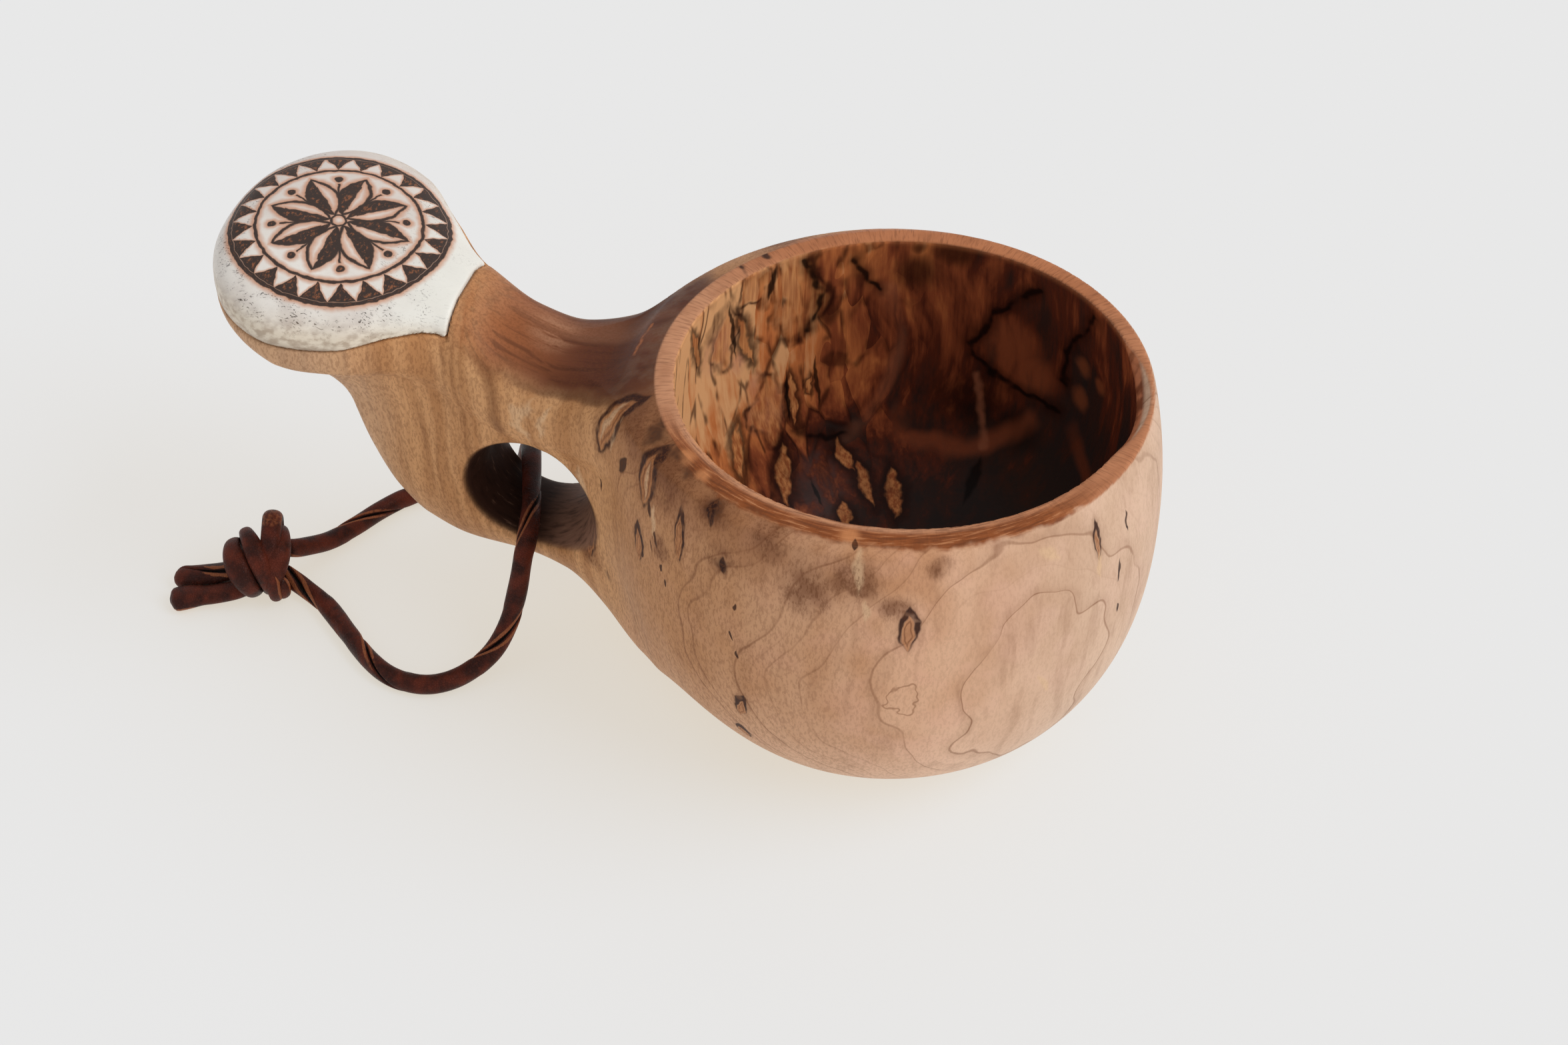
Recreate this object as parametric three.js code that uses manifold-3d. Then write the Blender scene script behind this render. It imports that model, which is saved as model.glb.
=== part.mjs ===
// A kuksa: a drinking cup carved from one burl, with an antler inlay in the handle and a leather thong.
// Millimetres, +Z up. The origin is on the floor under the centre of the mouth; the handle points along -X.
import * as THREE from 'three';
import { mergeVertices } from 'three/addons/utils/BufferGeometryUtils.js';
import Module from 'manifold-3d';

const wasm = await Module();
wasm.setup();

// Bowl
const HEIGHT = 69;
const MOUTH_RADIUS = 40;
const RIM_RADIUS = 45.6;
const BELLY_RADIUS = 48.6;
const BELLY_HEIGHT = 44;
const FOOT_RADIUS = 16;
const FOOT_BELOW = 1;
const FLANK_POWER = 2.4;
const BOWL_OFFSET_X = -2;
const BOWL_OFFSET_Y = -1;
const BLANK_OVER = 24;
const BLANK_UNDER = 12;

// Hollow and rim
const HOLLOW_FLOOR = 11;
const HOLLOW_BELLY = 40.8;
const HOLLOW_BELLY_HEIGHT = 54;
const HOLLOW_POWER = 2.6;
const RIM_FLAT = 3.4;
const LIP_SLOPE = 0.36;
const LIP_CURVE = 0.014;
const LIP_REACH = 10.2;

// Handle, as pairs of distance along X and size there
const TIP = -130;
const TIP_ROUND = 20;
const TIP_BLUNT = 6;
const TOP_LINE = [
  [-130, 78], [-120, 79], [-110, 78.5], [-99, 77], [-90, 75], [-81, 71.8],
  [-71, 65.6], [-62, 62.6], [-54, 63.2], [-47, 65.6], [-40, 68.5],
];
const PADDLE_HALF_WIDTH = [
  [-130, 23], [-120, 25.5], [-109, 26.5], [-99, 24], [-90, 17],
  [-81, 10.8], [-71, 11.2], [-61, 12.4], [-44, 15],
];
const PADDLE_DEPTH = [[-130, 12], [-120, 15], [-104, 18], [-84, 18], [-60, 16], [-44, 16]];
const PADDLE_EDGE_POWER = 3.2;
const WEB_TOP_DROP = 7;
const WEB_BOTTOM = [
  [-122, 64], [-116, 61.5], [-111, 57.5], [-108, 52], [-106, 45], [-104.6, 37], [-102.2, 27.5], [-98, 18.8],
  [-92.5, 14.4], [-84, 12.8], [-74, 13.4], [-63, 11.5], [-54, 6], [-46, 3.9], [-38, 2.2], [-30, -1],
];
const WEB_HALF_WIDTH = [[-113, 9], [-100, 10.5], [-84, 11.5], [-70, 11.5], [-56, 12.5], [-44, 15]];
const WEB_EDGE_POWER = 2.4;
const WEB_FLARE = 0.75;
const WEB_FLARE_LOW = 44;
const WEB_FLARE_HIGH = 70;
const SIDE_BLEND = 150;
const WEB_FADE_START = -124;
const WEB_FADE_END = -110;
const BOWL_BLEND = 480;
const BOWL_BLEND_REACH = 34;
const HEEL_BLEND = 0.8;
const HEEL_START = -60;
const HEEL_END = -44;
const HEEL_HEIGHT = 9;
const HEEL_FADE = 28;
const HANDLE_SWAY = 5;
const HANDLE_ROLL = 0.08;
const ROLL_START = -72;
const ROLL_END = -104;

// Finger hole
const HOLE_X = -68.5;
const HOLE_Z = 33.5;
const HOLE_HALF_LENGTH = 10.6;
const HOLE_HALF_HEIGHT = 10.2;
const HOLE_FLARE = 2.6;
const HOLE_FLARE_AT = 12;
const HOLE_REACH = 34;

// Antler inlay
const INLAY_END = -81.5;
const INLAY_THICK = 8.4;
const INLAY_THIN = 4.2;
const SEAT_GAP = 0.3;

// Leather thong, as the places of its middle from the knot round through the finger hole and back
const THONG = 4;
const THONG_SIDES = 10;
const THONG_STEPS = 78;
const THONG_ROUTE = [
  [-120.5, -12.2, 3.4], [-115, -14.2, 2.2], [-109.5, -17.4, 2.05], [-102.4, -23.5, 2.05],
  [-95.5, -29.2, 2.05], [-90, -32.2, 2.05], [-84.2, -32.9, 2.05], [-79.6, -31.2, 2.2],
  [-75.8, -27.6, 2.8], [-72.4, -23.6, 5.4], [-70.2, -20.2, 10.2], [-69, -17.4, 16.2],
  [-68.6, -14.2, 22], [-68.9, -9.8, 25.5], [-70.2, -4.6, 26.3], [-72, 1, 26.9],
  [-74, 6.6, 27.3], [-76, 11.6, 26.2], [-78.2, 15.8, 22.2], [-80.4, 19, 16.4],
  [-83, 21.8, 10.4], [-86.6, 24.4, 5.4], [-91.4, 25.8, 2.6], [-96.8, 24.8, 2.05],
  [-101.8, 21.6, 2.05], [-106.4, 16.8, 2.05], [-109.9, 11.6, 2.05], [-113, 5.6, 2.05],
  [-116.2, 0.2, 2.3], [-119.2, -4.2, 3.8], [-121.6, -7.4, 5.2],
];

// Overhand knot with the two tails beyond it, along its own X from the loop to the tails
const KNOT_PLACE = [-124.2, -14.6, 6.7];
const KNOT_HEADING = -150;
const KNOT_SIZE = [5.6, 7.2, 6.6];
const KNOT_TURNS = [[90, 14, -2.6], [68, -34, 1.2], [112, 56, 1]];
const KNOT_WRAP = 4.8;
const KNOT_STRETCH = 1.1;
const KNOT_OUTSIDE = [7.1, 8.2, 7.1];
const KNOT_GAP = 0.35;
const BIGHT_SIZE = [2.1, 2.3, 4.6];
const BIGHT_PLACE = [-3.6, -2.4, 5.6];
const TAIL_WIDTH = 4.4;
const TAIL_HEIGHT = 3.4;
const TAIL_ROUTES = {
  cord_tail_upper: [[-128.4, -15, 5], [-132.8, -16.4, 3.6], [-137.2, -17.3, 2.6], [-141.4, -17.8, 2]],
  cord_tail_lower: [[-127.6, -20, 3.2], [-131.6, -21.6, 2.3], [-135.6, -23.2, 1.9], [-139.4, -25.2, 1.8]],
};

// Fineness of the facets
const UPPER_POINTS = 14;
const LOWER_POINTS = 10;
const SPLIT_ANGLE = -40;
const RAYS = 90;
const TURNS = 72;
const HOLE_SIDES = 32;
const HOLE_STEPS = 12;

const BIG = 60;

// A smooth curve through the points, by monotone cubic steps
function through(points) {
  const slope = points.map(() => 0);
  const gradient = (i) => (points[i + 1][1] - points[i][1]) / (points[i + 1][0] - points[i][0]);
  for (let i = 1; i < points.length - 1; i++) {
    const a = gradient(i - 1);
    const b = gradient(i);
    slope[i] = a * b > 0 ? (2 * a * b) / (a + b) : 0;
  }
  slope[0] = gradient(0);
  slope[points.length - 1] = gradient(points.length - 2);
  return (x) => {
    if (x <= points[0][0]) return points[0][1];
    if (x >= points[points.length - 1][0]) return points[points.length - 1][1];
    let i = 0;
    while (x > points[i + 1][0]) i++;
    const [x0, y0] = points[i];
    const [x1, y1] = points[i + 1];
    const h = x1 - x0;
    const t = (x - x0) / h;
    const rest = 1 - t;
    return y0 * (1 + 2 * t) * rest * rest + slope[i] * h * t * rest * rest
      + y1 * t * t * (3 - 2 * t) + slope[i + 1] * h * t * t * (t - 1);
  };
}

const topLine = through(TOP_LINE);
const paddleHalfWidth = through(PADDLE_HALF_WIDTH);
const paddleDepth = through(PADDLE_DEPTH);
const webBottom = through(WEB_BOTTOM);
const webHalfWidth = through(WEB_HALF_WIDTH);

const smoothMax = (a, b, k) => (a + b + Math.hypot(a - b, k)) / 2;
const ramp = (a, b, x) => THREE.MathUtils.smoothstep((x - a) / (b - a), 0, 1);

// A rounded end: 0 at the end, growing along a quarter circle to 1 at the given length from it
function roundEnd(x, end, length) {
  const t = THREE.MathUtils.clamp((end + length - x) / length, 0, 1);
  return Math.sqrt(1 - t * t);
}

// Sideways place of the middle of the blank
function middleLine(x) {
  return HANDLE_SWAY * ramp(ROLL_START, ROLL_END, x) + BOWL_OFFSET_Y * ramp(-BELLY_RADIUS, 0, x);
}

// Outer radius of the bowl at height z; its lowest curve runs on under the floor, where it is cut off
function bowlRadius(z) {
  const low = z + FOOT_BELOW;
  if (low < 0) return FOOT_RADIUS * Math.sqrt(Math.max(0, 1 - (low / (BLANK_UNDER - FOOT_BELOW)) ** 2));
  if (z > HEIGHT) return RIM_RADIUS * Math.sqrt(Math.max(0, 1 - ((z - HEIGHT) / BLANK_OVER) ** 2));
  if (z > BELLY_HEIGHT) {
    const t = (z - BELLY_HEIGHT) / (HEIGHT - BELLY_HEIGHT);
    return BELLY_RADIUS - (BELLY_RADIUS - RIM_RADIUS) * t * t;
  }
  const rise = (1 - (1 - low / (BELLY_HEIGHT + FOOT_BELOW)) ** FLANK_POWER) ** (1 / FLANK_POWER);
  return FOOT_RADIUS + (BELLY_RADIUS - FOOT_RADIUS) * rise;
}

// Half width squared of a rounded section, negative outside its height
function section(z, top, bottom, halfWidth, power) {
  const middle = (top + bottom) / 2;
  const half = Math.max((top - bottom) / 2, 0.01);
  const inside = 1 - Math.abs((z - middle) / half) ** power;
  return halfWidth ** 2 * (inside > 0 ? inside : inside * 4);
}

// Positive inside the carved blank, negative outside
function blank(x, y, z) {
  const offset = y - middleLine(x);
  const level = z - HANDLE_ROLL * offset * ramp(ROLL_START, ROLL_END, x);
  const tip = roundEnd(x, TIP, TIP_ROUND);
  const top = topLine(x);
  const thick = paddleDepth(x);
  const drawn = (thick / 2) * (1 - roundEnd(x, TIP, TIP_BLUNT));
  const halfWidth = paddleHalfWidth(x) * tip;
  const paddle = section(level, top - drawn, top - thick + drawn, halfWidth, PADDLE_EDGE_POWER);
  const flare = WEB_FLARE * Math.max(halfWidth - webHalfWidth(x), 0);
  const webWidth = webHalfWidth(x) + flare * ramp(WEB_FLARE_LOW, WEB_FLARE_HIGH, level);
  const web = section(level, top - WEB_TOP_DROP, webBottom(x), webWidth, WEB_EDGE_POWER);
  const underPaddle = ramp(WEB_FADE_START, WEB_FADE_END, x);
  const handle = smoothMax(paddle, web - BIG * BIG * (1 - underPaddle), SIDE_BLEND * underPaddle);
  const beyond = Math.max(z - HEIGHT - BLANK_OVER, -BLANK_UNDER - z, 0);
  const bowl = bowlRadius(z) ** 2 - (x - BOWL_OFFSET_X) ** 2 - BIG * BIG * beyond;
  const near = ramp(-BELLY_RADIUS - BOWL_BLEND_REACH, -BELLY_RADIUS, x) * ramp(-8, -36, x);
  const low = ramp(0, HEEL_HEIGHT, z) * ramp(HEEL_FADE, HEEL_HEIGHT, z);
  const heel = 1 + HEEL_BLEND * low * ramp(HEEL_START, HEEL_END, x);
  return smoothMax(handle - BIG * BIG * ramp(-40, -12, x), bowl, BOWL_BLEND * near * heel) - offset * offset;
}

// Points along the skin at station x between two angles, evenly spaced along its length
function arc(x, side, from, to, count) {
  const line = [];
  for (let i = 0; i <= RAYS; i++) {
    const angle = THREE.MathUtils.degToRad(from + ((to - from) * i) / RAYS);
    const dy = side * Math.cos(angle);
    const dz = Math.sin(angle);
    let inner = 0;
    let outer = BIG;
    for (let k = 0; k < 26; k++) {
      const r = (inner + outer) / 2;
      if (blank(x, middleLine(x) + dy * r, spineHeight(x) + dz * r) > 0) inner = r;
      else outer = r;
    }
    line.push(new THREE.Vector3(x, middleLine(x) + dy * inner, spineHeight(x) + dz * inner));
  }
  const length = [0];
  for (let i = 1; i <= RAYS; i++) length.push(length[i - 1] + line[i].distanceTo(line[i - 1]));
  const points = [];
  let i = 1;
  for (let k = 0; k <= count; k++) {
    const goal = (length[RAYS] * k) / count;
    while (i < RAYS && length[i] < goal) i++;
    const t = (goal - length[i - 1]) / Math.max(length[i] - length[i - 1], 1e-9);
    points.push(line[i - 1].clone().lerp(line[i], THREE.MathUtils.clamp(t, 0, 1)));
  }
  return points;
}

// One side of the ring at station x, from its top point to its lowest one
function halfRing(x, side) {
  const upper = arc(x, side, 90, SPLIT_ANGLE, UPPER_POINTS);
  const lower = arc(x, side, SPLIT_ANGLE, -90, LOWER_POINTS);
  return [...upper, ...lower.slice(1)];
}

// Height of a line inside the blank, that every section is seen from
const spineHeight = through([
  [TIP, 70.5], [-104, 69], [-96, 64], [-84, 60], [-70, 50], [-50, 42], [-10, 38], [46, 44],
]);

// Stations along X, in runs of even steps that close up towards the two ends
function stations() {
  const right = BOWL_OFFSET_X + BELLY_RADIUS;
  const quarter = (t) => 1 - Math.cos((Math.PI / 2) * t);
  const run = (from, to, steps, ease = (t) => t) =>
    Array.from({ length: steps }, (_, i) => from + (to - from) * ease((i + 1) / steps));
  return [
    ...run(TIP, TIP + TIP_ROUND, 9, quarter),
    ...run(TIP + TIP_ROUND, -107.5, 1),
    ...run(-107.5, -96.5, 7),
    ...run(-96.5, -48, 17),
    ...run(-48, 22, 19),
    ...run(right, 22, 10, quarter).reverse().slice(1),
  ];
}

// Closed skin through rings of equal length, with a point at each end
function loft(rings, first, last) {
  const count = rings[0].length;
  const points = [first, ...rings.flat(), last];
  const faces = [];
  for (let k = 0; k < count; k++) {
    const next = (k + 1) % count;
    faces.push(0, 1 + next, 1 + k);
    const base = 1 + (rings.length - 1) * count;
    faces.push(points.length - 1, base + k, base + next);
    for (let r = 0; r < rings.length - 1; r++) {
      const a = 1 + r * count;
      const b = a + count;
      faces.push(a + k, a + next, b + next, a + k, b + next, b + k);
    }
  }
  const geometry = new THREE.BufferGeometry();
  geometry.setAttribute('position', new THREE.Float32BufferAttribute(points.flatMap((p) => p.toArray()), 3));
  geometry.setIndex(faces);
  return geometry;
}

function solid(geometry) {
  const bare = geometry.clone();
  bare.deleteAttribute('normal');
  bare.deleteAttribute('uv');
  const merged = mergeVertices(bare, 1e-5);
  return new wasm.Manifold(new wasm.Mesh({
    numProp: 3,
    vertProperties: new Float32Array(merged.attributes.position.array),
    triVerts: new Uint32Array(merged.index.array),
  }));
}

function geometryOf(body) {
  const mesh = body.getMesh();
  const geometry = new THREE.BufferGeometry();
  geometry.setAttribute('position', new THREE.BufferAttribute(new Float32Array(mesh.vertProperties), 3));
  geometry.setIndex([...mesh.triVerts]);
  return geometry;
}

// The carved outside of bowl and handle in one skin
function blankSkin() {
  const rings = stations().map((x) => {
    const left = halfRing(x, -1);
    const right = halfRing(x, 1).reverse();
    return [...left, ...right.slice(1, -1)];
  });
  const first = new THREE.Vector3(TIP, middleLine(TIP), spineHeight(TIP));
  const last = new THREE.Vector3(BOWL_OFFSET_X + BELLY_RADIUS, BOWL_OFFSET_Y, BELLY_HEIGHT);
  return loft(rings, first, last);
}

// Turned tool that takes out the hollow, levels the rim and rounds its lip
function mouthTool() {
  const profile = [new THREE.Vector2(0, HOLLOW_FLOOR)];
  const steps = 16;
  for (let i = 1; i <= steps; i++) {
    const a = ((Math.PI / 2) * i) / steps;
    const r = HOLLOW_BELLY * Math.sin(a) ** (2 / HOLLOW_POWER);
    const z = HOLLOW_FLOOR + (HOLLOW_BELLY_HEIGHT - HOLLOW_FLOOR) * (1 - Math.cos(a) ** (2 / HOLLOW_POWER));
    profile.push(new THREE.Vector2(r, z));
  }
  profile.push(new THREE.Vector2(MOUTH_RADIUS + 0.3, HEIGHT - 5));
  profile.push(new THREE.Vector2(MOUTH_RADIUS, HEIGHT));
  const lipSteps = 6;
  for (let i = 0; i <= lipSteps; i++) {
    const run = (LIP_REACH * i) / lipSteps;
    const drop = LIP_SLOPE * run + LIP_CURVE * run * run;
    profile.push(new THREE.Vector2(MOUTH_RADIUS + RIM_FLAT + run, HEIGHT - drop));
  }
  profile.push(new THREE.Vector2(MOUTH_RADIUS + 22, HEIGHT + BIG));
  profile.push(new THREE.Vector2(0, HEIGHT + BIG));
  return new THREE.LatheGeometry(profile, TURNS).rotateX(Math.PI / 2);
}

// Oval finger hole through the web, opening out towards both mouths
function fingerHoleTool() {
  const rings = [];
  for (let i = 0; i <= HOLE_STEPS; i++) {
    const y = HOLE_REACH * Math.sin((Math.PI / 2) * ((2 * i) / HOLE_STEPS - 1));
    const grow = Math.min(HOLE_FLARE * (Math.abs(y) / HOLE_FLARE_AT) ** 2, 3 * HOLE_FLARE);
    const ring = [];
    for (let k = 0; k < HOLE_SIDES; k++) {
      const a = (2 * Math.PI * k) / HOLE_SIDES;
      const dx = (HOLE_HALF_LENGTH + grow) * Math.cos(a);
      const dz = -(HOLE_HALF_HEIGHT + grow) * Math.sin(a);
      ring.push(new THREE.Vector3(HOLE_X + dx, y, HOLE_Z + dz));
    }
    rings.push(ring);
  }
  const first = new THREE.Vector3(HOLE_X, -HOLE_REACH, HOLE_Z);
  const last = new THREE.Vector3(HOLE_X, HOLE_REACH, HOLE_Z);
  return loft(rings, first, last);
}

// Block over the antler's seat; the gap draws it back from the wood on its floor and its end
function seatTool(gap) {
  const outline = new THREE.Shape();
  const steps = 8;
  const end = INLAY_END - gap;
  outline.moveTo(end, HEIGHT + BIG);
  for (let i = 0; i <= steps; i++) {
    const x = end + ((TIP - 4 - end) * i) / steps;
    const thick = INLAY_THIN + (INLAY_THICK - INLAY_THIN) * ramp(INLAY_END, ROLL_END, x);
    outline.lineTo(x, topLine(x) - thick + gap);
  }
  outline.lineTo(TIP - 4, HEIGHT + BIG);
  const block = new THREE.ExtrudeGeometry(outline, { depth: 2 * BIG, bevelEnabled: false });
  block.translate(0, 0, -BIG);
  block.rotateX(Math.PI / 2);
  const hinge = topLine(INLAY_END) - INLAY_THICK;
  block.translate(0, 0, -hinge);
  block.rotateX(Math.atan(HANDLE_ROLL));
  block.translate(0, 0, hinge);
  return block;
}

function below(z) {
  const block = new THREE.BoxGeometry(6 * BIG, 6 * BIG, BIG);
  block.translate(0, 0, z - BIG / 2);
  return block;
}

const whole = solid(blankSkin());
const seat = solid(seatTool(0));
const cup = whole
  .subtract(solid(mouthTool()))
  .subtract(solid(fingerHoleTool()))
  .subtract(seat)
  .subtract(solid(below(0)));
const inlay = whole.intersect(solid(seatTool(SEAT_GAP)));

// Tube with closed ends along a smooth line, round or flattened
function tube(points, width, height, sides, steps) {
  const path = new THREE.CatmullRomCurve3(points.map((p) => new THREE.Vector3(...p)));
  const outline = new THREE.Shape();
  for (let i = 0; i < sides; i++) {
    const a = (2 * Math.PI * i) / sides;
    if (i === 0) outline.moveTo(height / 2, 0);
    else outline.lineTo((height / 2) * Math.cos(a), (width / 2) * Math.sin(a));
  }
  return new THREE.ExtrudeGeometry(outline, { extrudePath: path, steps, bevelEnabled: false });
}

function atKnot(body) {
  const place = new THREE.Matrix4().makeRotationZ(THREE.MathUtils.degToRad(KNOT_HEADING));
  return solid(geometryOf(body).applyMatrix4(place.setPosition(...KNOT_PLACE)));
}

const ellipsoid = (size) => solid(new THREE.SphereGeometry(1, 20, 12).scale(...size));

// The knot: a core with three turns of thong in one rounded outside, and a bight that stands out on top
function knot() {
  const wrapped = KNOT_TURNS.reduce((body, [tilt, turn, shift]) => {
    const ring = new THREE.TorusGeometry(KNOT_WRAP, THONG / 2 - 0.1, 8, 20);
    ring.rotateX(THREE.MathUtils.degToRad(tilt));
    ring.rotateZ(THREE.MathUtils.degToRad(turn));
    ring.rotateY(Math.PI / 2);
    ring.scale(1, KNOT_STRETCH, 1);
    ring.translate(shift, 0, 0);
    return body.add(solid(ring));
  }, ellipsoid(KNOT_SIZE));
  const bight = ellipsoid(BIGHT_SIZE).translate(BIGHT_PLACE);
  return atKnot(wrapped.intersect(ellipsoid(KNOT_OUTSIDE)).add(bight));
}

const wood = new THREE.MeshStandardMaterial({ color: 0xb98660, roughness: 0.45, metalness: 0 });
const antler = new THREE.MeshStandardMaterial({ color: 0xe4ded2, roughness: 0.35, metalness: 0 });
const leather = new THREE.MeshStandardMaterial({ color: 0x4a2419, roughness: 0.6, metalness: 0 });

const kuksa = new THREE.Group();

function add(name, geometry, material) {
  const mesh = new THREE.Mesh(geometry, material);
  mesh.name = name;
  kuksa.add(mesh);
}

add('cup_body', geometryOf(cup), wood);
add('antler_inlay', geometryOf(inlay), antler);
const aroundKnot = atKnot(ellipsoid(KNOT_OUTSIDE.map((half) => half + KNOT_GAP)));
const loop = solid(tube(THONG_ROUTE, THONG, THONG, THONG_SIDES, THONG_STEPS));
add('cord_loop', geometryOf(loop.subtract(aroundKnot)), leather);
add('cord_knot', geometryOf(knot()), leather);
for (const [name, route] of Object.entries(TAIL_ROUTES)) {
  const tail = solid(tube(route, TAIL_WIDTH, TAIL_HEIGHT, THONG_SIDES, 8));
  add(name, geometryOf(tail.subtract(aroundKnot)), leather);
}

export default kuksa;
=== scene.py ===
"""A carved burl drinking cup with an antler inlay and a knotted leather thong."""
import math
from functools import reduce

import bpy
import numpy as np
from bpy.props import FloatProperty, FloatVectorProperty, IntProperty, PointerProperty
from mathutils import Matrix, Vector


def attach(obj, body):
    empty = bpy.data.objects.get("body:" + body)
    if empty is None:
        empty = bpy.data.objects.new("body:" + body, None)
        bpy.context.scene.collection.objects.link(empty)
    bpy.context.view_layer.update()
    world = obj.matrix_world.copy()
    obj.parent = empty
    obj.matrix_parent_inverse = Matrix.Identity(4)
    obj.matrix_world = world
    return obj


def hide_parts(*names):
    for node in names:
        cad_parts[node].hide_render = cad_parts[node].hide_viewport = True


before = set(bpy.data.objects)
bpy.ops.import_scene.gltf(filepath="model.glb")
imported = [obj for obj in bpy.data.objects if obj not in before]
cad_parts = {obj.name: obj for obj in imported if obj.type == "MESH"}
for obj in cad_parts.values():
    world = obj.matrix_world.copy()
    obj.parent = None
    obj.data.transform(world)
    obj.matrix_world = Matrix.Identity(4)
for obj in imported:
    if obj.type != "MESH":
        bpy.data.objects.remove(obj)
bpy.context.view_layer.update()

bl_info = {
    "name": "Carved burl cup",
    "version": (1, 0, 0),
    "blender": (4, 5, 0),
    "location": "View3D > Sidebar > Burl Cup",
    "description": "Builds a carved drinking cup of burl with an antler inlay and a leather thong",
    "category": "Add Mesh",
}

MM = 0.001

# ---------------------------------------------------------------- sizes of the carving, in millimetres
HEIGHT = 69
MOUTH_RADIUS = 40
RIM_RADIUS = 45.6
BELLY_RADIUS = 48.6
BELLY_HEIGHT = 44
FOOT_RADIUS = 16
FOOT_BELOW = 1
FLANK_POWER = 2.4
BOWL_MIDDLE = (-2, -1)
BLANK_OVER = 24
BLANK_UNDER = 12

HOLLOW_FLOOR = 11
HOLLOW_BELLY = 40.8
HOLLOW_BELLY_HEIGHT = 54
HOLLOW_POWER = 2.6
HOLLOW_WALL = [(HOLLOW_BELLY_HEIGHT, HOLLOW_BELLY), (HEIGHT - 5, MOUTH_RADIUS + 0.3), (HEIGHT, MOUTH_RADIUS)]
RIM_FLAT = 3.4
LIP_SLOPE = 0.36
LIP_CURVE = 0.014
LIP_REACH = 10.2
LIP_SIDE_LEAN = 0.13
LIP_SIDE_DEPTH = 5
RIM_MIDDLE = 44
BEVEL_SHIFT = 18
BEVEL_TURN = math.radians(6)
BEVEL_MIDDLE = (BEVEL_SHIFT * math.cos(BEVEL_TURN), BEVEL_SHIFT * math.sin(BEVEL_TURN))
BEVEL_RADIUS = MOUTH_RADIUS + 2.6 - BEVEL_SHIFT
BEVEL_STEEP = 0.8

TIP = -130
TIP_ROUND = 20
TIP_BLUNT = 6
TOP_LINE = [
    (-130, 78), (-120, 79), (-110, 78.5), (-99, 77), (-90, 75), (-81, 71.8), (-71, 65.6), (-62, 62.6),
    (-54, 63.2), (-47, 65.6), (-40, 68.5),
]
PADDLE_HALF_WIDTH = [
    (-130, 23), (-120, 25.5), (-109, 26.5), (-99, 24), (-90, 17), (-81, 10.8), (-71, 11.2), (-61, 12.4),
    (-44, 15),
]
PADDLE_DEPTH = [(-130, 12), (-120, 15), (-104, 18), (-84, 18), (-60, 16), (-44, 16)]
PADDLE_EDGE_POWER = 3.2
HANDLE_FADE = (-40, -12)
WEB_TOP_DROP = 7
WEB_BOTTOM = [
    (-122, 64), (-116, 61.5), (-111, 57.5), (-108, 52), (-106, 45), (-104.6, 37), (-102.2, 27.5),
    (-98, 18.8), (-92.5, 14.4), (-84, 12.8), (-74, 13.4), (-63, 11.5), (-54, 6), (-46, 3.9), (-38, 2.2),
    (-30, -1),
]
WEB_HALF_WIDTH = [(-113, 9), (-100, 10.5), (-84, 11.5), (-70, 11.5), (-56, 12.5), (-44, 15)]
WEB_EDGE_POWER = 2.4
WEB_FLARE = 0.75
WEB_FLARE_HEIGHTS = (44, 70)
SIDE_BLEND = 150
WEB_FADE = (-124, -110)
BOWL_BLEND = 480
BOWL_BLEND_REACH = 34
BOWL_BLEND_FADE = (-8, -36)
HEEL_BLEND = 0.8
HEEL = (-60, -44)
HEEL_HEIGHT = 9
HEEL_FADE = 28
HANDLE_SWAY = 5
HANDLE_ROLL = 0.08
ROLL = (-72, -104)

HOLE = (-68.5, 33.5)
HOLE_HALVES = (10.6, 10.2)
HOLE_FLARE = 2.6
HOLE_FLARE_AT = 12

INLAY_END = -81.5
INLAY_THICK = 8.4
INLAY_THIN = 4.2
SEAT_GAP = 0.12

# How far each edge is rounded where one surface cuts another.
EDGES = {"hollow": 0.45, "lip": 0.4, "bevel": 0.35, "finger_hole": 1.5, "foot": 1.2, "seat": 0.3, "antler": 0.5}
CUP_SPACE = ((-131.5, -51.5, -1.5), (48.5, 50.5, 81))
ANTLER_SPACE = ((-131.5, -23.5, 64), (-80, 34, 81))

THONG = 4
THONG_ROUTE = [
    (-120.5, -12.2, 3.4), (-115, -14.2, 2.2), (-109.5, -17.4, 2.05), (-102.4, -23.5, 2.05),
    (-95.5, -29.2, 2.05), (-90, -32.2, 2.05), (-84.2, -32.9, 2.05), (-79.6, -31.2, 2.2), (-75.8, -27.6, 2.8),
    (-72.4, -23.6, 5.4), (-70.2, -20.2, 10.2), (-69, -17.4, 16.2), (-68.6, -14.2, 22), (-68.9, -9.8, 25.5),
    (-70.2, -4.6, 26.3), (-72, 1, 26.9), (-74, 6.6, 27.3), (-76, 11.6, 26.2), (-78.2, 15.8, 22.2),
    (-80.4, 19, 16.4), (-83, 21.8, 10.4), (-86.6, 24.4, 5.4), (-91.4, 25.8, 2.6), (-96.8, 24.8, 2.05),
    (-101.8, 21.6, 2.05), (-106.4, 16.8, 2.05), (-109.9, 11.6, 2.05), (-113, 5.6, 2.05), (-116.2, 0.2, 2.3),
    (-119.2, -4.2, 3.8), (-121.6, -7.4, 5.2),
]
KNOT_PLACE = (-124.2, -14.6, 6.7)
KNOT_HEADING = math.radians(-150)
TAIL_ROUTES = {
    "tail_upper": [(-128.4, -15, 5), (-132.8, -16.4, 3.6), (-137.2, -17.3, 2.6), (-141.4, -17.8, 2)],
    "tail_lower": [(-124.8, -17.6, 4.4), (-127.6, -19.3, 3.4), (-131.6, -20.8, 2.6), (-135.6, -22.2, 2.2),
                   (-139.4, -24.2, 2)],
}
UPPER_TAIL_SIZE = (5.4, 4.6)
LOWER_TAIL_SIZE = (5.2, 3.6)
ORNAMENT_SCALE = 1.06

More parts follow.
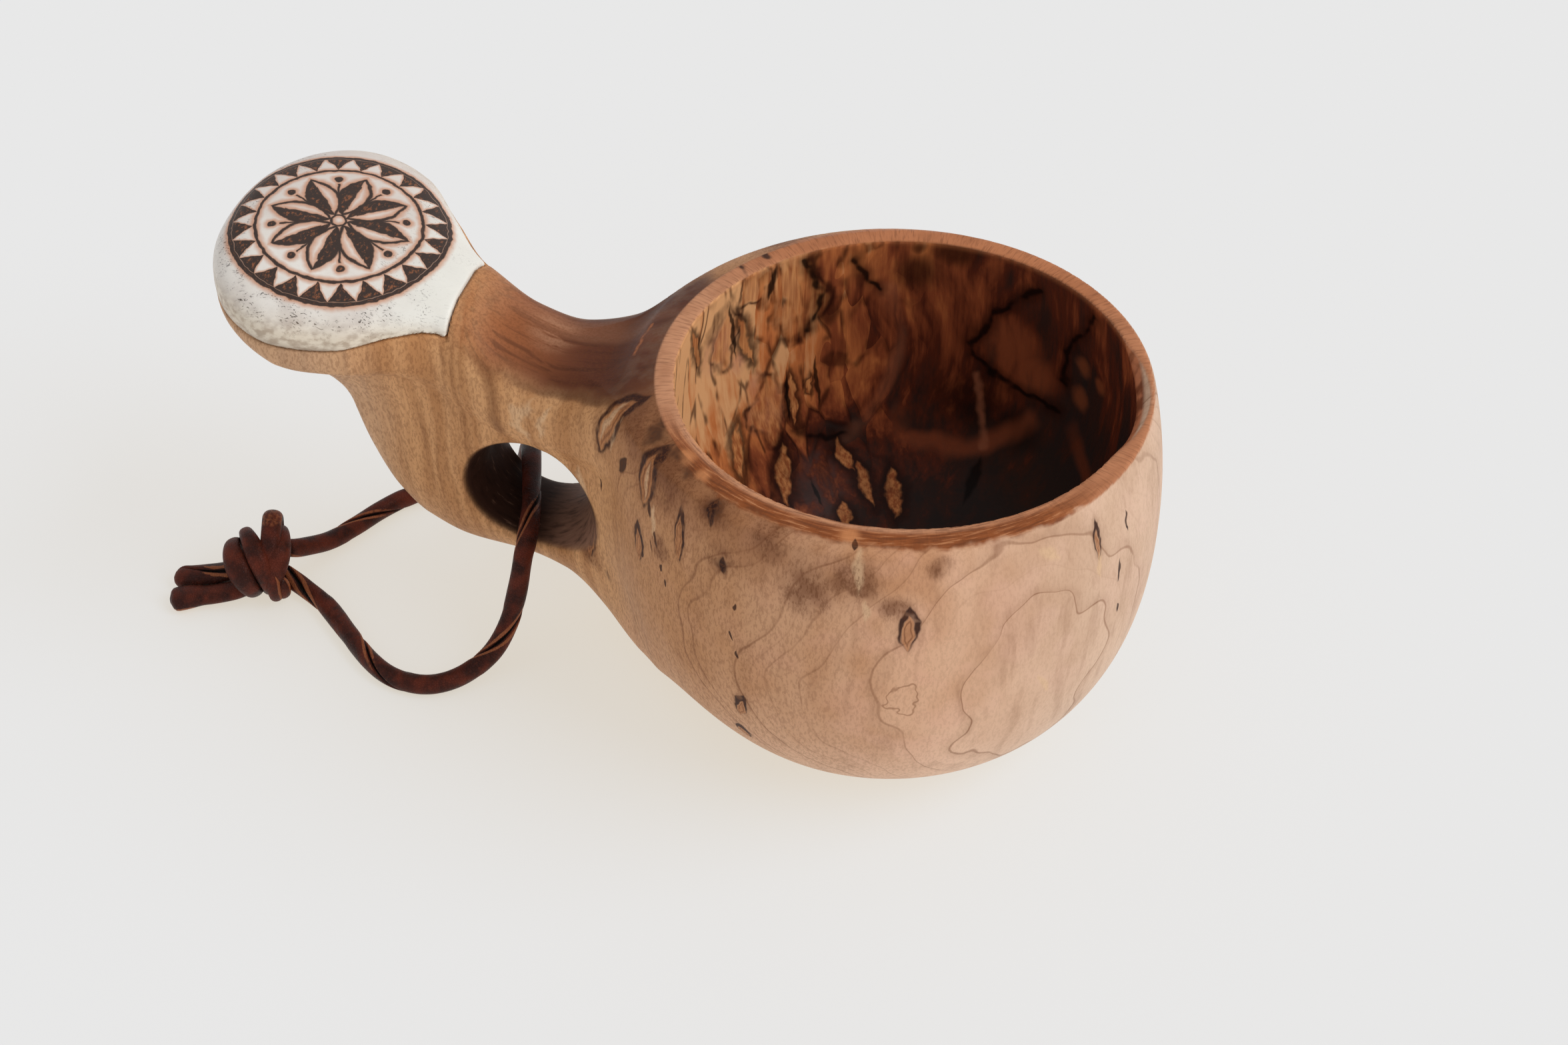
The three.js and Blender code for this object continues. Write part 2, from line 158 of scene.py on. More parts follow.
BIG = 60  # more than any half width of the cup, to push a field below nothing
UP = (0, 0, 1.0)


# ---------------------------------------------------------------- the carving as a field of distances
def through(points):
    """A smooth curve through the points, by monotone cubic steps."""
    px, py = np.array(points, float).T
    gradient = np.diff(py) / np.diff(px)
    slope = np.zeros(len(px))
    before, after = gradient[:-1], gradient[1:]
    same = before * after > 0
    slope[1:-1][same] = (2 * before * after)[same] / (before + after)[same]
    slope[0], slope[-1] = gradient[0], gradient[-1]

    def value(x):
        x = np.clip(x, px[0], px[-1])
        i = np.clip(np.searchsorted(px, x, side="right") - 1, 0, len(px) - 2)
        h = px[i + 1] - px[i]
        t = (x - px[i]) / h
        rest = 1 - t
        return (py[i] * (1 + 2 * t) * rest**2 + slope[i] * h * t * rest**2
                + py[i + 1] * t**2 * (3 - 2 * t) + slope[i + 1] * h * t**2 * (t - 1))

    return value


top_line = through(TOP_LINE)
paddle_half_width = through(PADDLE_HALF_WIDTH)
paddle_depth = through(PADDLE_DEPTH)
web_bottom = through(WEB_BOTTOM)
web_half_width = through(WEB_HALF_WIDTH)


def ramp(a, b, x):
    t = np.clip((x - a) / (b - a), 0, 1)
    return t * t * (3 - 2 * t)


def most(a, b, width):
    """The larger of two fields, with the crease between them rounded over that width."""
    return (a + b + np.hypot(a - b, width)) / 2


def least(a, b, width):
    return -most(-a, -b, width)


def round_end(x, end, length):
    t = np.clip((end + length - x) / length, 0, 1)
    return np.sqrt(1 - t * t)


def middle_line(x):
    return HANDLE_SWAY * ramp(*ROLL, x) + BOWL_MIDDLE[1] * ramp(-BELLY_RADIUS, 0, x)


def bowl_radius(z):
    """Outer radius of the bowl; its lowest curve runs on under the floor, where it is cut off."""
    low = z + FOOT_BELOW
    above = np.clip(z - HEIGHT, 0, None) / BLANK_OVER
    under = np.clip(-low, 0, None) / (BLANK_UNDER - FOOT_BELOW)
    shrink = np.sqrt(np.clip(1 - above**2 - under**2, 0, 1))
    upper = (np.clip(z, BELLY_HEIGHT, HEIGHT) - BELLY_HEIGHT) / (HEIGHT - BELLY_HEIGHT)
    lower = 1 - np.clip(low, 0, BELLY_HEIGHT + FOOT_BELOW) / (BELLY_HEIGHT + FOOT_BELOW)
    rise = (1 - lower**FLANK_POWER) ** (1 / FLANK_POWER)
    wide = FOOT_RADIUS + (BELLY_RADIUS - FOOT_RADIUS) * rise - (BELLY_RADIUS - RIM_RADIUS) * upper**2
    return wide * shrink


def section(z, top, bottom, half_width, power):
    middle = (top + bottom) / 2
    half = np.maximum((top - bottom) / 2, 0.01)
    inside = 1 - np.abs((z - middle) / half) ** power
    return half_width**2 * np.where(inside > 0, inside, inside * 4)


def blank(x, y, z):
    """Positive inside the carved outside of bowl and handle, negative outside it."""
    offset = y - middle_line(x)
    level = z - HANDLE_ROLL * offset * ramp(*ROLL, x)
    top, thick = top_line(x), paddle_depth(x)
    drawn = thick / 2 * (1 - round_end(x, TIP, TIP_BLUNT))
    wide = paddle_half_width(x) * round_end(x, TIP, TIP_ROUND)
    paddle = section(level, top - drawn, top - thick + drawn, wide, PADDLE_EDGE_POWER)
    narrow = web_half_width(x)
    flare = WEB_FLARE * np.maximum(wide - narrow, 0) * ramp(*WEB_FLARE_HEIGHTS, level)
    web = section(level, top - WEB_TOP_DROP, web_bottom(x), narrow + flare, WEB_EDGE_POWER)
    under = ramp(*WEB_FADE, x)
    handle = most(paddle, web - BIG**2 * (1 - under), SIDE_BLEND * under)
    handle = handle - BIG**2 * ramp(*HANDLE_FADE, x) - BIG**2 * np.maximum(TIP - x, 0)
    beyond = np.maximum(np.maximum(z - HEIGHT - BLANK_OVER, -BLANK_UNDER - z), 0)
    bowl = bowl_radius(z) ** 2 - (x - BOWL_MIDDLE[0]) ** 2 - BIG**2 * beyond
    near = ramp(-BELLY_RADIUS - BOWL_BLEND_REACH, -BELLY_RADIUS, x) * ramp(*BOWL_BLEND_FADE, x)
    low = ramp(0, HEEL_HEIGHT, z) * ramp(HEEL_FADE, HEEL_HEIGHT, z)
    heel = 1 + HEEL_BLEND * low * ramp(*HEEL, x)
    return most(handle, bowl, BOWL_BLEND * near * heel) - offset**2


def hollow(x, y, z):
    """Distance out from the hollow of the bowl."""
    r = np.hypot(x, y)
    wall = np.interp(z, *zip(*HOLLOW_WALL))
    depth = HOLLOW_BELLY_HEIGHT - HOLLOW_FLOOR
    across = r / HOLLOW_BELLY
    down = np.maximum(HOLLOW_BELLY_HEIGHT - z, 0) / depth
    power = HOLLOW_POWER
    slope = power * np.hypot(across ** (power - 1) / HOLLOW_BELLY, down ** (power - 1) / depth)
    below = (across**power + down**power - 1) / np.maximum(slope, 1e-3)
    return np.where(z > HOLLOW_BELLY_HEIGHT, r - wall, below)


def lid(x, y, z):
    """Distance down from the level rim and its falling lip."""
    r = np.hypot(x, y)
    run = np.clip(r - MOUTH_RADIUS - RIM_FLAT, 0, LIP_REACH)
    steep = LIP_SLOPE + 2 * LIP_CURVE * run
    under = (HEIGHT - LIP_SLOPE * run - LIP_CURVE * run**2 - z) / np.hypot(1, steep)
    past = r - (MOUTH_RADIUS + RIM_FLAT + LIP_REACH) - LIP_SIDE_LEAN * (z - HEIGHT + LIP_SIDE_DEPTH)
    return np.maximum(under, past)


def bevel(x, y, z):
    """Distance out from the crescent-shaped bevel inside the rim, a cone set off to one side."""
    r = np.hypot(x - BEVEL_MIDDLE[0], y - BEVEL_MIDDLE[1])
    return (r - BEVEL_RADIUS + (HEIGHT - z) * BEVEL_STEEP) / math.hypot(1, BEVEL_STEEP)


def finger_hole(x, y, z):
    grow = np.minimum(HOLE_FLARE * (np.abs(y) / HOLE_FLARE_AT) ** 2, 3 * HOLE_FLARE)
    a, b = HOLE_HALVES[0] + grow, HOLE_HALVES[1] + grow
    return (np.hypot((x - HOLE[0]) / a, (z - HOLE[1]) / b) - 1) * b


def seat(x, y, z):
    """Distance into the space that the antler fills, from its floor and its end."""
    hinge = float(top_line(INLAY_END)) - INLAY_THICK
    tilt = math.atan(HANDLE_ROLL)
    level = hinge + (z - hinge) * math.cos(tilt) - y * math.sin(tilt)
    thick = INLAY_THIN + (INLAY_THICK - INLAY_THIN) * ramp(INLAY_END, ROLL[1], x)
    return np.minimum(INLAY_END - x, level - (top_line(x) - thick))


def cup_shape(x, y, z, wood):
    shape = least(wood, hollow(x, y, z), EDGES["hollow"])
    shape = least(shape, lid(x, y, z), EDGES["lip"])
    shape = least(shape, bevel(x, y, z), EDGES["bevel"])
    shape = least(shape, finger_hole(x, y, z), EDGES["finger_hole"])
    shape = least(shape, z, EDGES["foot"])
    return least(shape, -seat(x, y, z), EDGES["seat"])


def antler_shape(x, y, z, wood):
    return least(wood, seat(x, y, z) - SEAT_GAP, EDGES["antler"])


def slope(field, x, y, z, step=0.03):
    """Gradient of a field at points, by central differences."""
    return np.stack([
        (field(x + dx, y + dy, z + dz) - field(x - dx, y - dy, z - dz)) / (2 * step)
        for dx, dy, dz in np.eye(3) * step
    ])


def blank_distance(x, y, z):
    return blank(x, y, z) / np.maximum(np.linalg.norm(slope(blank, x, y, z), axis=0), 1)


def nets(values, low, step):
    """Surface nets: vertices and four-sided faces where the field changes sign."""
    inside = values > 0
    cells = np.array(values.shape) - 1
    total = np.zeros((cells.prod(), 3))
    count = np.zeros(cells.prod())
    quads = []
    for axis in range(3):
        a = np.moveaxis(inside, axis, 0)
        v = np.moveaxis(values, axis, 0)
        i, j, k = np.nonzero(a[:-1] != a[1:])
        v0, v1 = v[i, j, k], v[i + 1, j, k]
        leaving = a[i, j, k]
        place = np.stack([i + v0 / (v0 - v1), j, k], 1)
        order = [axis] + [n for n in range(3) if n != axis]
        back = np.argsort(order)
        corners = []
        for dj, dk in ((0, 0), (-1, 0), (-1, -1), (0, -1)):
            cell = np.stack([i, j + dj, k + dk], 1)[:, back]
            flat = (cell[:, 0] * cells[1] + cell[:, 1]) * cells[2] + cell[:, 2]
            corners.append(flat)
            np.add.at(total, flat, place[:, back])
            np.add.at(count, flat, 1)
        quad = np.stack(corners, 1)
        flip = ~leaving if axis != 1 else leaving
        quad[flip] = quad[flip][:, ::-1]
        quads.append(quad)
    used = np.nonzero(count)[0]
    number = np.zeros(cells.prod(), int)
    number[used] = np.arange(len(used))
    points = total[used] / count[used, None] * step + np.array(low)
    return points, number[np.concatenate(quads)]


def skin(shape, low, high, facet):
    """Mesh of a shape cut from the blank: points on it, its faces and its normals."""
    step = facet * 1
    axes = [np.arange(a, b + step, step) for a, b in zip(low, high)]
    x, y, z = axes[0][:, None, None], axes[1][None, :, None], axes[2][None, None, :]
    wood = blank(x, y, z)
    steep = np.sqrt(sum(g**2 for g in np.gradient(wood, step)))
    points, quads = nets(shape(x, y, z, wood / np.maximum(steep, 1)), low, step)

    def distance(x, y, z):
        return shape(x, y, z, blank_distance(x, y, z))

    normals = None
    for turn in range(3):
        if turn:
            middle = np.zeros_like(points)
            count = np.zeros(len(points))
            for n in range(4):
                np.add.at(middle, quads[:, n], points[quads].sum(1))
                np.add.at(count, quads[:, n], 4)
            points = points + 0.5 * (middle / count[:, None] - points)
        for _ in range(2):
            d = distance(*points.T)
            g = slope(distance, *points.T)
            size = np.maximum(np.linalg.norm(g, axis=0), 0.3)
            move = np.clip(d / size, -step, step)
            points = points - (g / size * move).T
            normals = -(g / size).T
    return points, quads, normals


def mesh_piece(name, points, faces, body="root", normals=None, facts=None):
    """A smooth mesh object in metres from points in millimetres, riding on a body."""
    mesh = bpy.data.meshes.new(name)
    mesh.from_pydata((np.asarray(points) * MM).tolist(), [], [tuple(map(int, face)) for face in faces])
    mesh.update()
    mesh.polygons.foreach_set("use_smooth", [True] * len(mesh.polygons))
    for key, values in (facts or {}).items():
        mesh.attributes.new(key, "FLOAT", "POINT").data.foreach_set("value", np.asarray(values, np.float32))
    if normals is not None:
        mesh.normals_split_custom_set_from_vertices(normals.tolist())
    piece = bpy.data.objects.new(name, mesh)
    bpy.context.scene.collection.objects.link(piece)
    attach(piece, body)
    return piece


# ---------------------------------------------------------------- materials
def method(operation):
    """A method that stands for an operation of a Math or Vector Math node."""
    return lambda self, *others: self.sum(operation, self, *others)


def both_ways(operation):
    """The method of an operator and its reflected form."""
    return method(operation), lambda self, other: self.sum(operation, other, self)


class Value:
    """One socket of a material's nodes, used in sums as a number or a vector is."""

    def __init__(self, shader, socket):
        self.shader, self.socket = shader, socket
        self.many = socket.type in ("VECTOR", "RGBA")

    def sum(self, operation, *values):
        many = any(isinstance(v, tuple) or isinstance(v, Value) and v.many for v in values)
        kind = "ShaderNodeVectorMath" if many else "ShaderNodeMath"
        if many:
            values = [v if isinstance(v, (Value, tuple)) else (v, v, v) for v in values]
        return self.shader.node(kind, {"operation": operation}, dict(enumerate(values)))

    __add__, __radd__ = both_ways("ADD")
    __sub__, __rsub__ = both_ways("SUBTRACT")
    __mul__, __rmul__ = both_ways("MULTIPLY")
    __truediv__, __rtruediv__ = both_ways("DIVIDE")
    __pow__, __abs__ = method("POWER"), method("ABSOLUTE")
    least, most = method("MINIMUM"), method("MAXIMUM")
    part, whole = method("FRACT"), method("FLOOR")
    sine, cosine = method("SINE"), method("COSINE")

    def tall(self, share):
        """This place with its height scaled, which draws a pattern out upright or squeezes it."""
        return self * (1.0, 1.0, share)

    def heading(self, other):
        """Angle of the direction whose two parts are other and self."""
        return self.sum("ARCTAN2", self, other)

    def dot(self, vector):
        return self.shader.node("ShaderNodeVectorMath", {"operation": "DOT_PRODUCT"}, {0: self, 1: vector}, 1)

    def length(self):
        return self.shader.node("ShaderNodeVectorMath", {"operation": "LENGTH"}, {0: self}, 1)

    def ramp(self, start, end, low=0.0, high=1.0):
        """Smooth step from low at start to high at end."""
        if start > end:
            start, end, low, high = end, start, high, low
        values = {"Value": self, "From Min": start, "From Max": end, "To Min": low, "To Max": high}
        return self.shader.node("ShaderNodeMapRange", {"interpolation_type": "SMOOTHSTEP"}, values)

    def paint(self, mask, *above):
        """This colour under another, a value or the three parts of a tint, laid on by a mask from 0 to 1."""
        return self.shader.mix(mask, self, above[0] if len(above) == 1 else tint(*above))

    def xyz(self):
        split = self.shader.node("ShaderNodeSeparateXYZ", {}, {0: self}).socket.node
        return [Value(self.shader, s) for s in split.outputs]


class Shader:
    """A material under construction."""

    def __init__(self, name, roughness=0.5, **constants):
        self.material = bpy.data.materials.new(name)
        self.material.use_nodes = True
        self.tree = self.material.node_tree
        self.surface = self.tree.nodes["Principled BSDF"]
        self.surface.inputs["Roughness"].default_value = roughness
        for key, value in constants.items():
            self.surface.inputs[key.replace("_", " ")].default_value = value
        self.place = self.node("ShaderNodeTexCoord", {}, {}, "Object") * 1000.0

    def node(self, kind, settings, values, out=0):
        """A node of that type with its settings, then its sockets' values or links; one of its outputs."""
        node = self.tree.nodes.new(kind)
        for key, value in settings.items():
            if key == "stops":
                bands = node.color_ramp.elements
                while len(bands) < len(value):
                    bands.new(0.5)
                for band, (at, colour) in zip(bands, value):
                    band.position = at
                    band.color = (*colour, 1)
            else:
                setattr(node, key, value)
        for key, value in values.items():
            socket = node.inputs[key]
            if isinstance(value, Value):
                self.tree.links.new(value.socket, socket)
            elif socket.type == "RGBA":
                socket.default_value = (*value[:3], 1)
            else:
                socket.default_value = value
        return Value(self, node.outputs[out])

    def noise(self, place, size, detail=2.0, rough=0.5, out=0):
        """Noise from 0 to 1 with lumps of about that many millimetres."""
        values = {"Vector": place, "Scale": 1.0 / size, "Detail": detail, "Roughness": rough}
        return self.node("ShaderNodeTexNoise", {}, values, out)

    def sway(self, place, size, detail=1.0):
        """A wandering shift with parts from -0.5 to 0.5."""
        return self.noise(place, size, detail, out=1) - 0.5

    def cells(self, place, size):
        """Distance from the border of cells of about that many millimetres."""
        values = {"Vector": place, "Scale": 1.0 / size}
        return self.node("ShaderNodeTexVoronoi", {"feature": "DISTANCE_TO_EDGE"}, values)

    def fact(self, name):
        return self.node("ShaderNodeAttribute", {"attribute_name": name}, {}, 2)

    def pack(self, x, y, z):
        return self.node("ShaderNodeCombineXYZ", {}, {0: x, 1: y, 2: z})

    def mix(self, mask, first, second):
        """Colours mixed by a mask from 0 to 1."""
        return self.node("ShaderNodeMix", {"data_type": "RGBA"}, {0: mask, 6: first, 7: second}, 2)

    def band(self, value, *stops):
        """A colour looked up along a value."""
        return self.node("ShaderNodeValToRGB", {"stops": stops}, {0: value})

    def finish(self, colour, roughness=None, height=None, depth=0.1, coat=None):
        links = {"Base Color": colour, "Roughness": roughness, "Coat Weight": coat}
        if height is not None:
            links["Normal"] = self.node("ShaderNodeBump", {}, {
                "Height": height, "Distance": depth * MM, "Strength": 1.0,
            })
        for key, value in links.items():
            if value is not None:
                self.tree.links.new(value.socket, self.surface.inputs[key])
        return self.material


def put(piece, material):
    piece.data.materials.clear()
    piece.data.materials.append(material)
    return piece


def tint(red, green, blue):
    """A colour given as a screen shows it, from 0 to 255, in the units of light."""
    parts = (c / 255 for c in (red, green, blue))
    return tuple(c / 12.92 if c < 0.04 else ((c + 0.055) / 1.055) ** 2.4 for c in parts)


def figures(place, spots):
    """Nearness to almond figures in the wood: 0 in the middle of one, 1 on its outline.

    Each has its middle, half its width, half its length and its lean in degrees."""
    def near(x, y, z, half_wide, half_long, lean):
        heading, lean = math.atan2(y, x), math.radians(lean)
        across = (-math.sin(heading) * math.cos(lean), math.cos(heading) * math.cos(lean), math.sin(lean))
        away = place - (x, y, z)
        size = away.length() / half_long
        return abs(away.dot(tuple(part / half_wide for part in across))) + size * size

    return reduce(Value.least, (near(*spot) for spot in spots))


def stain_and_light_spots(place, spots):
    """Soft round spots, for stains and for painted light and shade: 1 in the middle of one, 0 beyond its
    radius.
    """
    soft = ((place - tuple(middle)).length().ramp(radius, radius * 0.25) for *middle, radius in spots)
    return reduce(Value.most, soft)


def strand(place, points):
    """Distance from a line drawn through points in the wood."""
    def near(start, end):
        along = np.array(end, float) - start
        reach = float(np.linalg.norm(along))
        away = place - start
        far, ahead = away.length(), away.dot(tuple(along / reach))
        part = ahead.most(0.0).least(reach)
        return (far * far - part * (ahead * 2.0 - part)).most(0.0) ** 0.5

    return reduce(Value.least, (near(*pair) for pair in zip(points, points[1:])))


# Almond figures on the outside of the bowl: middle, half width, half length, lean.
RINGED_EYES = [
    (12.3, -46.9, 54.2, 1.9, 4.4, 0), (-29.1, -39.5, 58.9, 1.35, 5.3, 3), (-17.0, -45.5, 27.2, 1.5, 3.2, -14),
    (-17.8, -42.4, 17.6, 1.9, 2.2, 20), (-39.1, -32.3, 48.8, 1.9, 4.2, 5), (-36.9, -32.0, 63.8, 3.0, 6.4, 2),
    (-47.8, -19.0, 63.8, 3.2, 8.2, -8), (-54.7, -13.4, 30.2, 1.5, 4.4, 4), (40.8, -25.6, 61, 1.0, 4.6, 3),
    (30, 37, 50, 1.6, 5, 0), (-12, 47, 40, 1.5, 4.5, 5), (5, 48, 56, 1.2, 5.0, -4),
    (-34, 35.5, 56, 1.3, 5.2, 4), (20, 43.8, 34, 1.4, 3.4, 0), (46, 6, 48, 1.1, 4.6, 3),
]
DARK_EYES = [
    (-43.8, -25.5, 59.4, 1.2, 2.8, -28), (2.4, -44.6, 68.4, 0.6, 1.0, 0), (42.8, -16.9, 59.4, 0.35, 2.6, 4),
    (42.8, -19.5, 50.6, 0.35, 2.7, -3), (43.0, -19.3, 41.4, 0.4, 1.3, 12), (-54.9, -13.2, 29.0, 0.8, 1.8, 4),
    (-36.1, -34.2, 58.2, 0.6, 1.6, 14), (-34.7, -36.1, 53.1, 0.5, 1.5, 12), (-33.3, -37.7, 48.3, 0.5, 1.0, 0),
    (-17.8, -46.6, 51.2, 0.5, 0.9, 0), (-18.4, -46.6, 44.5, 0.3, 0.9, 14), (-17.2, -46.8, 40.4, 0.35, 0.9, 0),
    (-27.6, -37.4, 27.8, 0.7, 0.9, 0), (-39, 30, 44, 0.5, 2.4, 8), (36, 31, 30, 0.5, 1.6, 0),
    (-51.5, -17.0, 46, 0.3, 1.6, 12), (-32.6, -38.3, 46.0, 0.5, 0.9, 0), (-35.4, -35.2, 51.0, 0.4, 1.0, 20),
    (-22.7, -41.2, 66.4, 0.9, 2.4, 16), (-20.0, -44.8, 58.4, 0.9, 1.6, 10), (-38.0, -33.6, 47.0, 0.4, 0.9, 0),
]
PALE_STREAKS = [
    (-66.6, -12.9, 54.8, 0.8, 5.4, 2), (-63.0, -13.6, 55.3, 0.6, 4.4, 2), (3.6, -46.4, 64.6, 1.3, 5.0, 3),
    (5.4, -48.0, 57.4, 0.9, 2.6, 0), (32.4, -33.0, 63.3, 1.8, 3.4, 50), (39.9, -24.6, 55.3, 0.8, 3.4, 0),
    (33.5, -33.7, 34.6, 1.0, 3.8, 24), (-48.4, -18.4, 63.0, 1.0, 6, -6), (-46.4, -21.0, 62.0, 0.8, 5, -4),
    (-36.8, -31.8, 62.6, 0.8, 4.6, 4), (-35.0, -35.0, 56.4, 0.9, 4.0, 8), (-57, -13.6, 40, 1.2, 7, 3),
]
SMUDGES = [
    (-5, -47, 60, 7), (2.5, -47, 62.5, 6.5), (-20, -44, 59, 4), (-22.4, -41.2, 66.6, 4.6),
    (-31.5, -34, 66.5, 9), (16.2, -43.4, 66.5, 3.4), (-40.5, -24, 66.6, 6.5), (4.4, -47.8, 60.6, 2.2),
    (-21, -44.2, 60.0, 2.6),
    (9.6, -47.4, 57.6, 4.0), (-33.5, -37, 52, 4.6), (-54.6, -14, 26, 4.6), (-14, 46, 60, 9), (24, 38, 64, 8),
    (-30, 34, 66, 8), (-12, -45, 66, 5),
]
INK = [
    (-37.2, -26.9, 67.8, 3.6), (-36.2, -24.4, 69, 2.6), (-32.0, -31.0, 68.4, 2.6), (-22.6, -41.0, 66.6, 2.6),
    (-28.4, -34.6, 68.4, 2.2), (-44.6, -17.4, 67.2, 2.4), (-20, -44.8, 58.6, 1.8), (-51.6, -18, 24, 2),
]
# Flames, figures, contours and patches on the inside of the bowl.
FLAMES = [
    (-35.2, 20.6, 54.4, 1.3, 6.6, -14), (-28.0, 27.6, 36.4, 1.0, 5.6, 2), (-25.4, 30.4, 38.2, 0.6, 2.4, 0),
    (-35.0, 14.4, 31.8, 1.6, 5.8, 15), (-27.4, 19.4, 23.8, 1.9, 6.2, 24), (-17.8, 28.5, 23.8, 1.4, 4.0, -20),
    (-12.8, 26.5, 19.3, 1.5, 4.8, -22), (-7.0, 26.6, 18.0, 2.0, 5.2, -12), (-39.9, 5.9, 61.6, 1.2, 5.6, -18),
    (-15.2, 20.0, 16.0, 1.9, 3.2, 0), (34, -20, 46, 1.8, 6, 0), (20, -34, 38, 1.4, 6, 5),
    (-20, -35, 44, 1.6, 7, 0), (-38, -10, 40, 1.5, 6, 3), (2, -40, 56, 1.3, 5, 0),
]
SLITS = [
    (-21.2, 20.8, 19.8, 0.5, 2.6, 0), (-24.2, 31.6, 38.4, 0.5, 5.5, 0), (-29.4, 27.6, 37.0, 0.4, 5.5, 3),
    (-31.2, 25.4, 64.6, 0.7, 3.6, 10), (-36.6, 17.6, 58.0, 0.5, 7.0, -10), (8, 32, 20, 1.2, 5, 0),
    (36, 10, 50, 1, 8, 4), (30, -26, 54, 1, 6, 0), (-38.6, -8, 55, 0.8, 5, 0),
]
CONTOURS = [
    [(-20.5, 38.6, 68.8), (-17.9, 36.1, 65.0), (-15.9, 37.3, 59.9), (-14.0, 38.2, 57.4)],
    [(16.6, 36.4, 64.4), (9.1, 39.7, 56.2), (3.7, 40.5, 46.9), (4.6, 40.3, 44.4), (10.2, 38.7, 40.5),
     (16.6, 36.3, 39.6), (22.6, 33.0, 40.0)],
    [(28.6, 28.6, 66.0), (26.4, 31.2, 60.5), (23.4, 33.4, 54.0), (23.0, 33.4, 47.0)],
    [(-26.0, 30.8, 66.8), (-24.6, 32.2, 61.4), (-23.2, 33.0, 58.8), (-25.0, 32.2, 52.6), (-25.9, 31.5, 50.6)],
    [(-25.8, 27.0, 29.0), (-21.4, 28.8, 27.0), (-18.4, 31.0, 27.4)],
]
BURL_PATCHES = [
    (-38.0, 14.2, 58.3, 7.0), (-36.6, 18.2, 50.5, 4.0), (-32.1, 22.1, 35.3, 7.0), (-33.6, 20.8, 43, 4.5),
]
LOBES = [
    (-27.4, 30.0, 60.5, 5.6), (-33.4, 23.0, 66.5, 3.4), (-37.4, 15.4, 58.0, 4.2), (-31.4, 23.4, 35.0, 4.2),
    (-30, -26, 50, 5), (4, -40, 46, 5),
]
ARC = [
    (-8.0, 36.6, 30.8), (-6.3, 34.2, 25.5), (0.1, 34.5, 25.0), (5.5, 34.0, 25.0), (11.7, 34.8, 29.0),
    (17.1, 35.1, 35.7),
]
# A painted reflection: the path of a pale streak of light down the far wall of the hollow.
PAINTED_REFLECTION_STREAK = [
    (-11.3, 39.2, 57), (-10.4, 39.3, 47.0), (-11.8, 37.8, 38.1), (-14.6, 34.6, 30.5), (-18.4, 30.2, 25.6),
]

# Direction across the growth layers of the wood and their common thickness, in millimetres.
LAYERS = (0.69, -0.715, -0.1)
LAYER = 2.7
TONGUE = 4.6  # width of the tongues of colour inside the bowl
OIL_STOPS = [
    (0.0, 50, 41, 39), (0.2, 64, 41, 35), (0.38, 98, 47, 32), (0.56, 154, 82, 50), (0.78, 212, 128, 74),
    (1.0, 240, 180, 126),
]


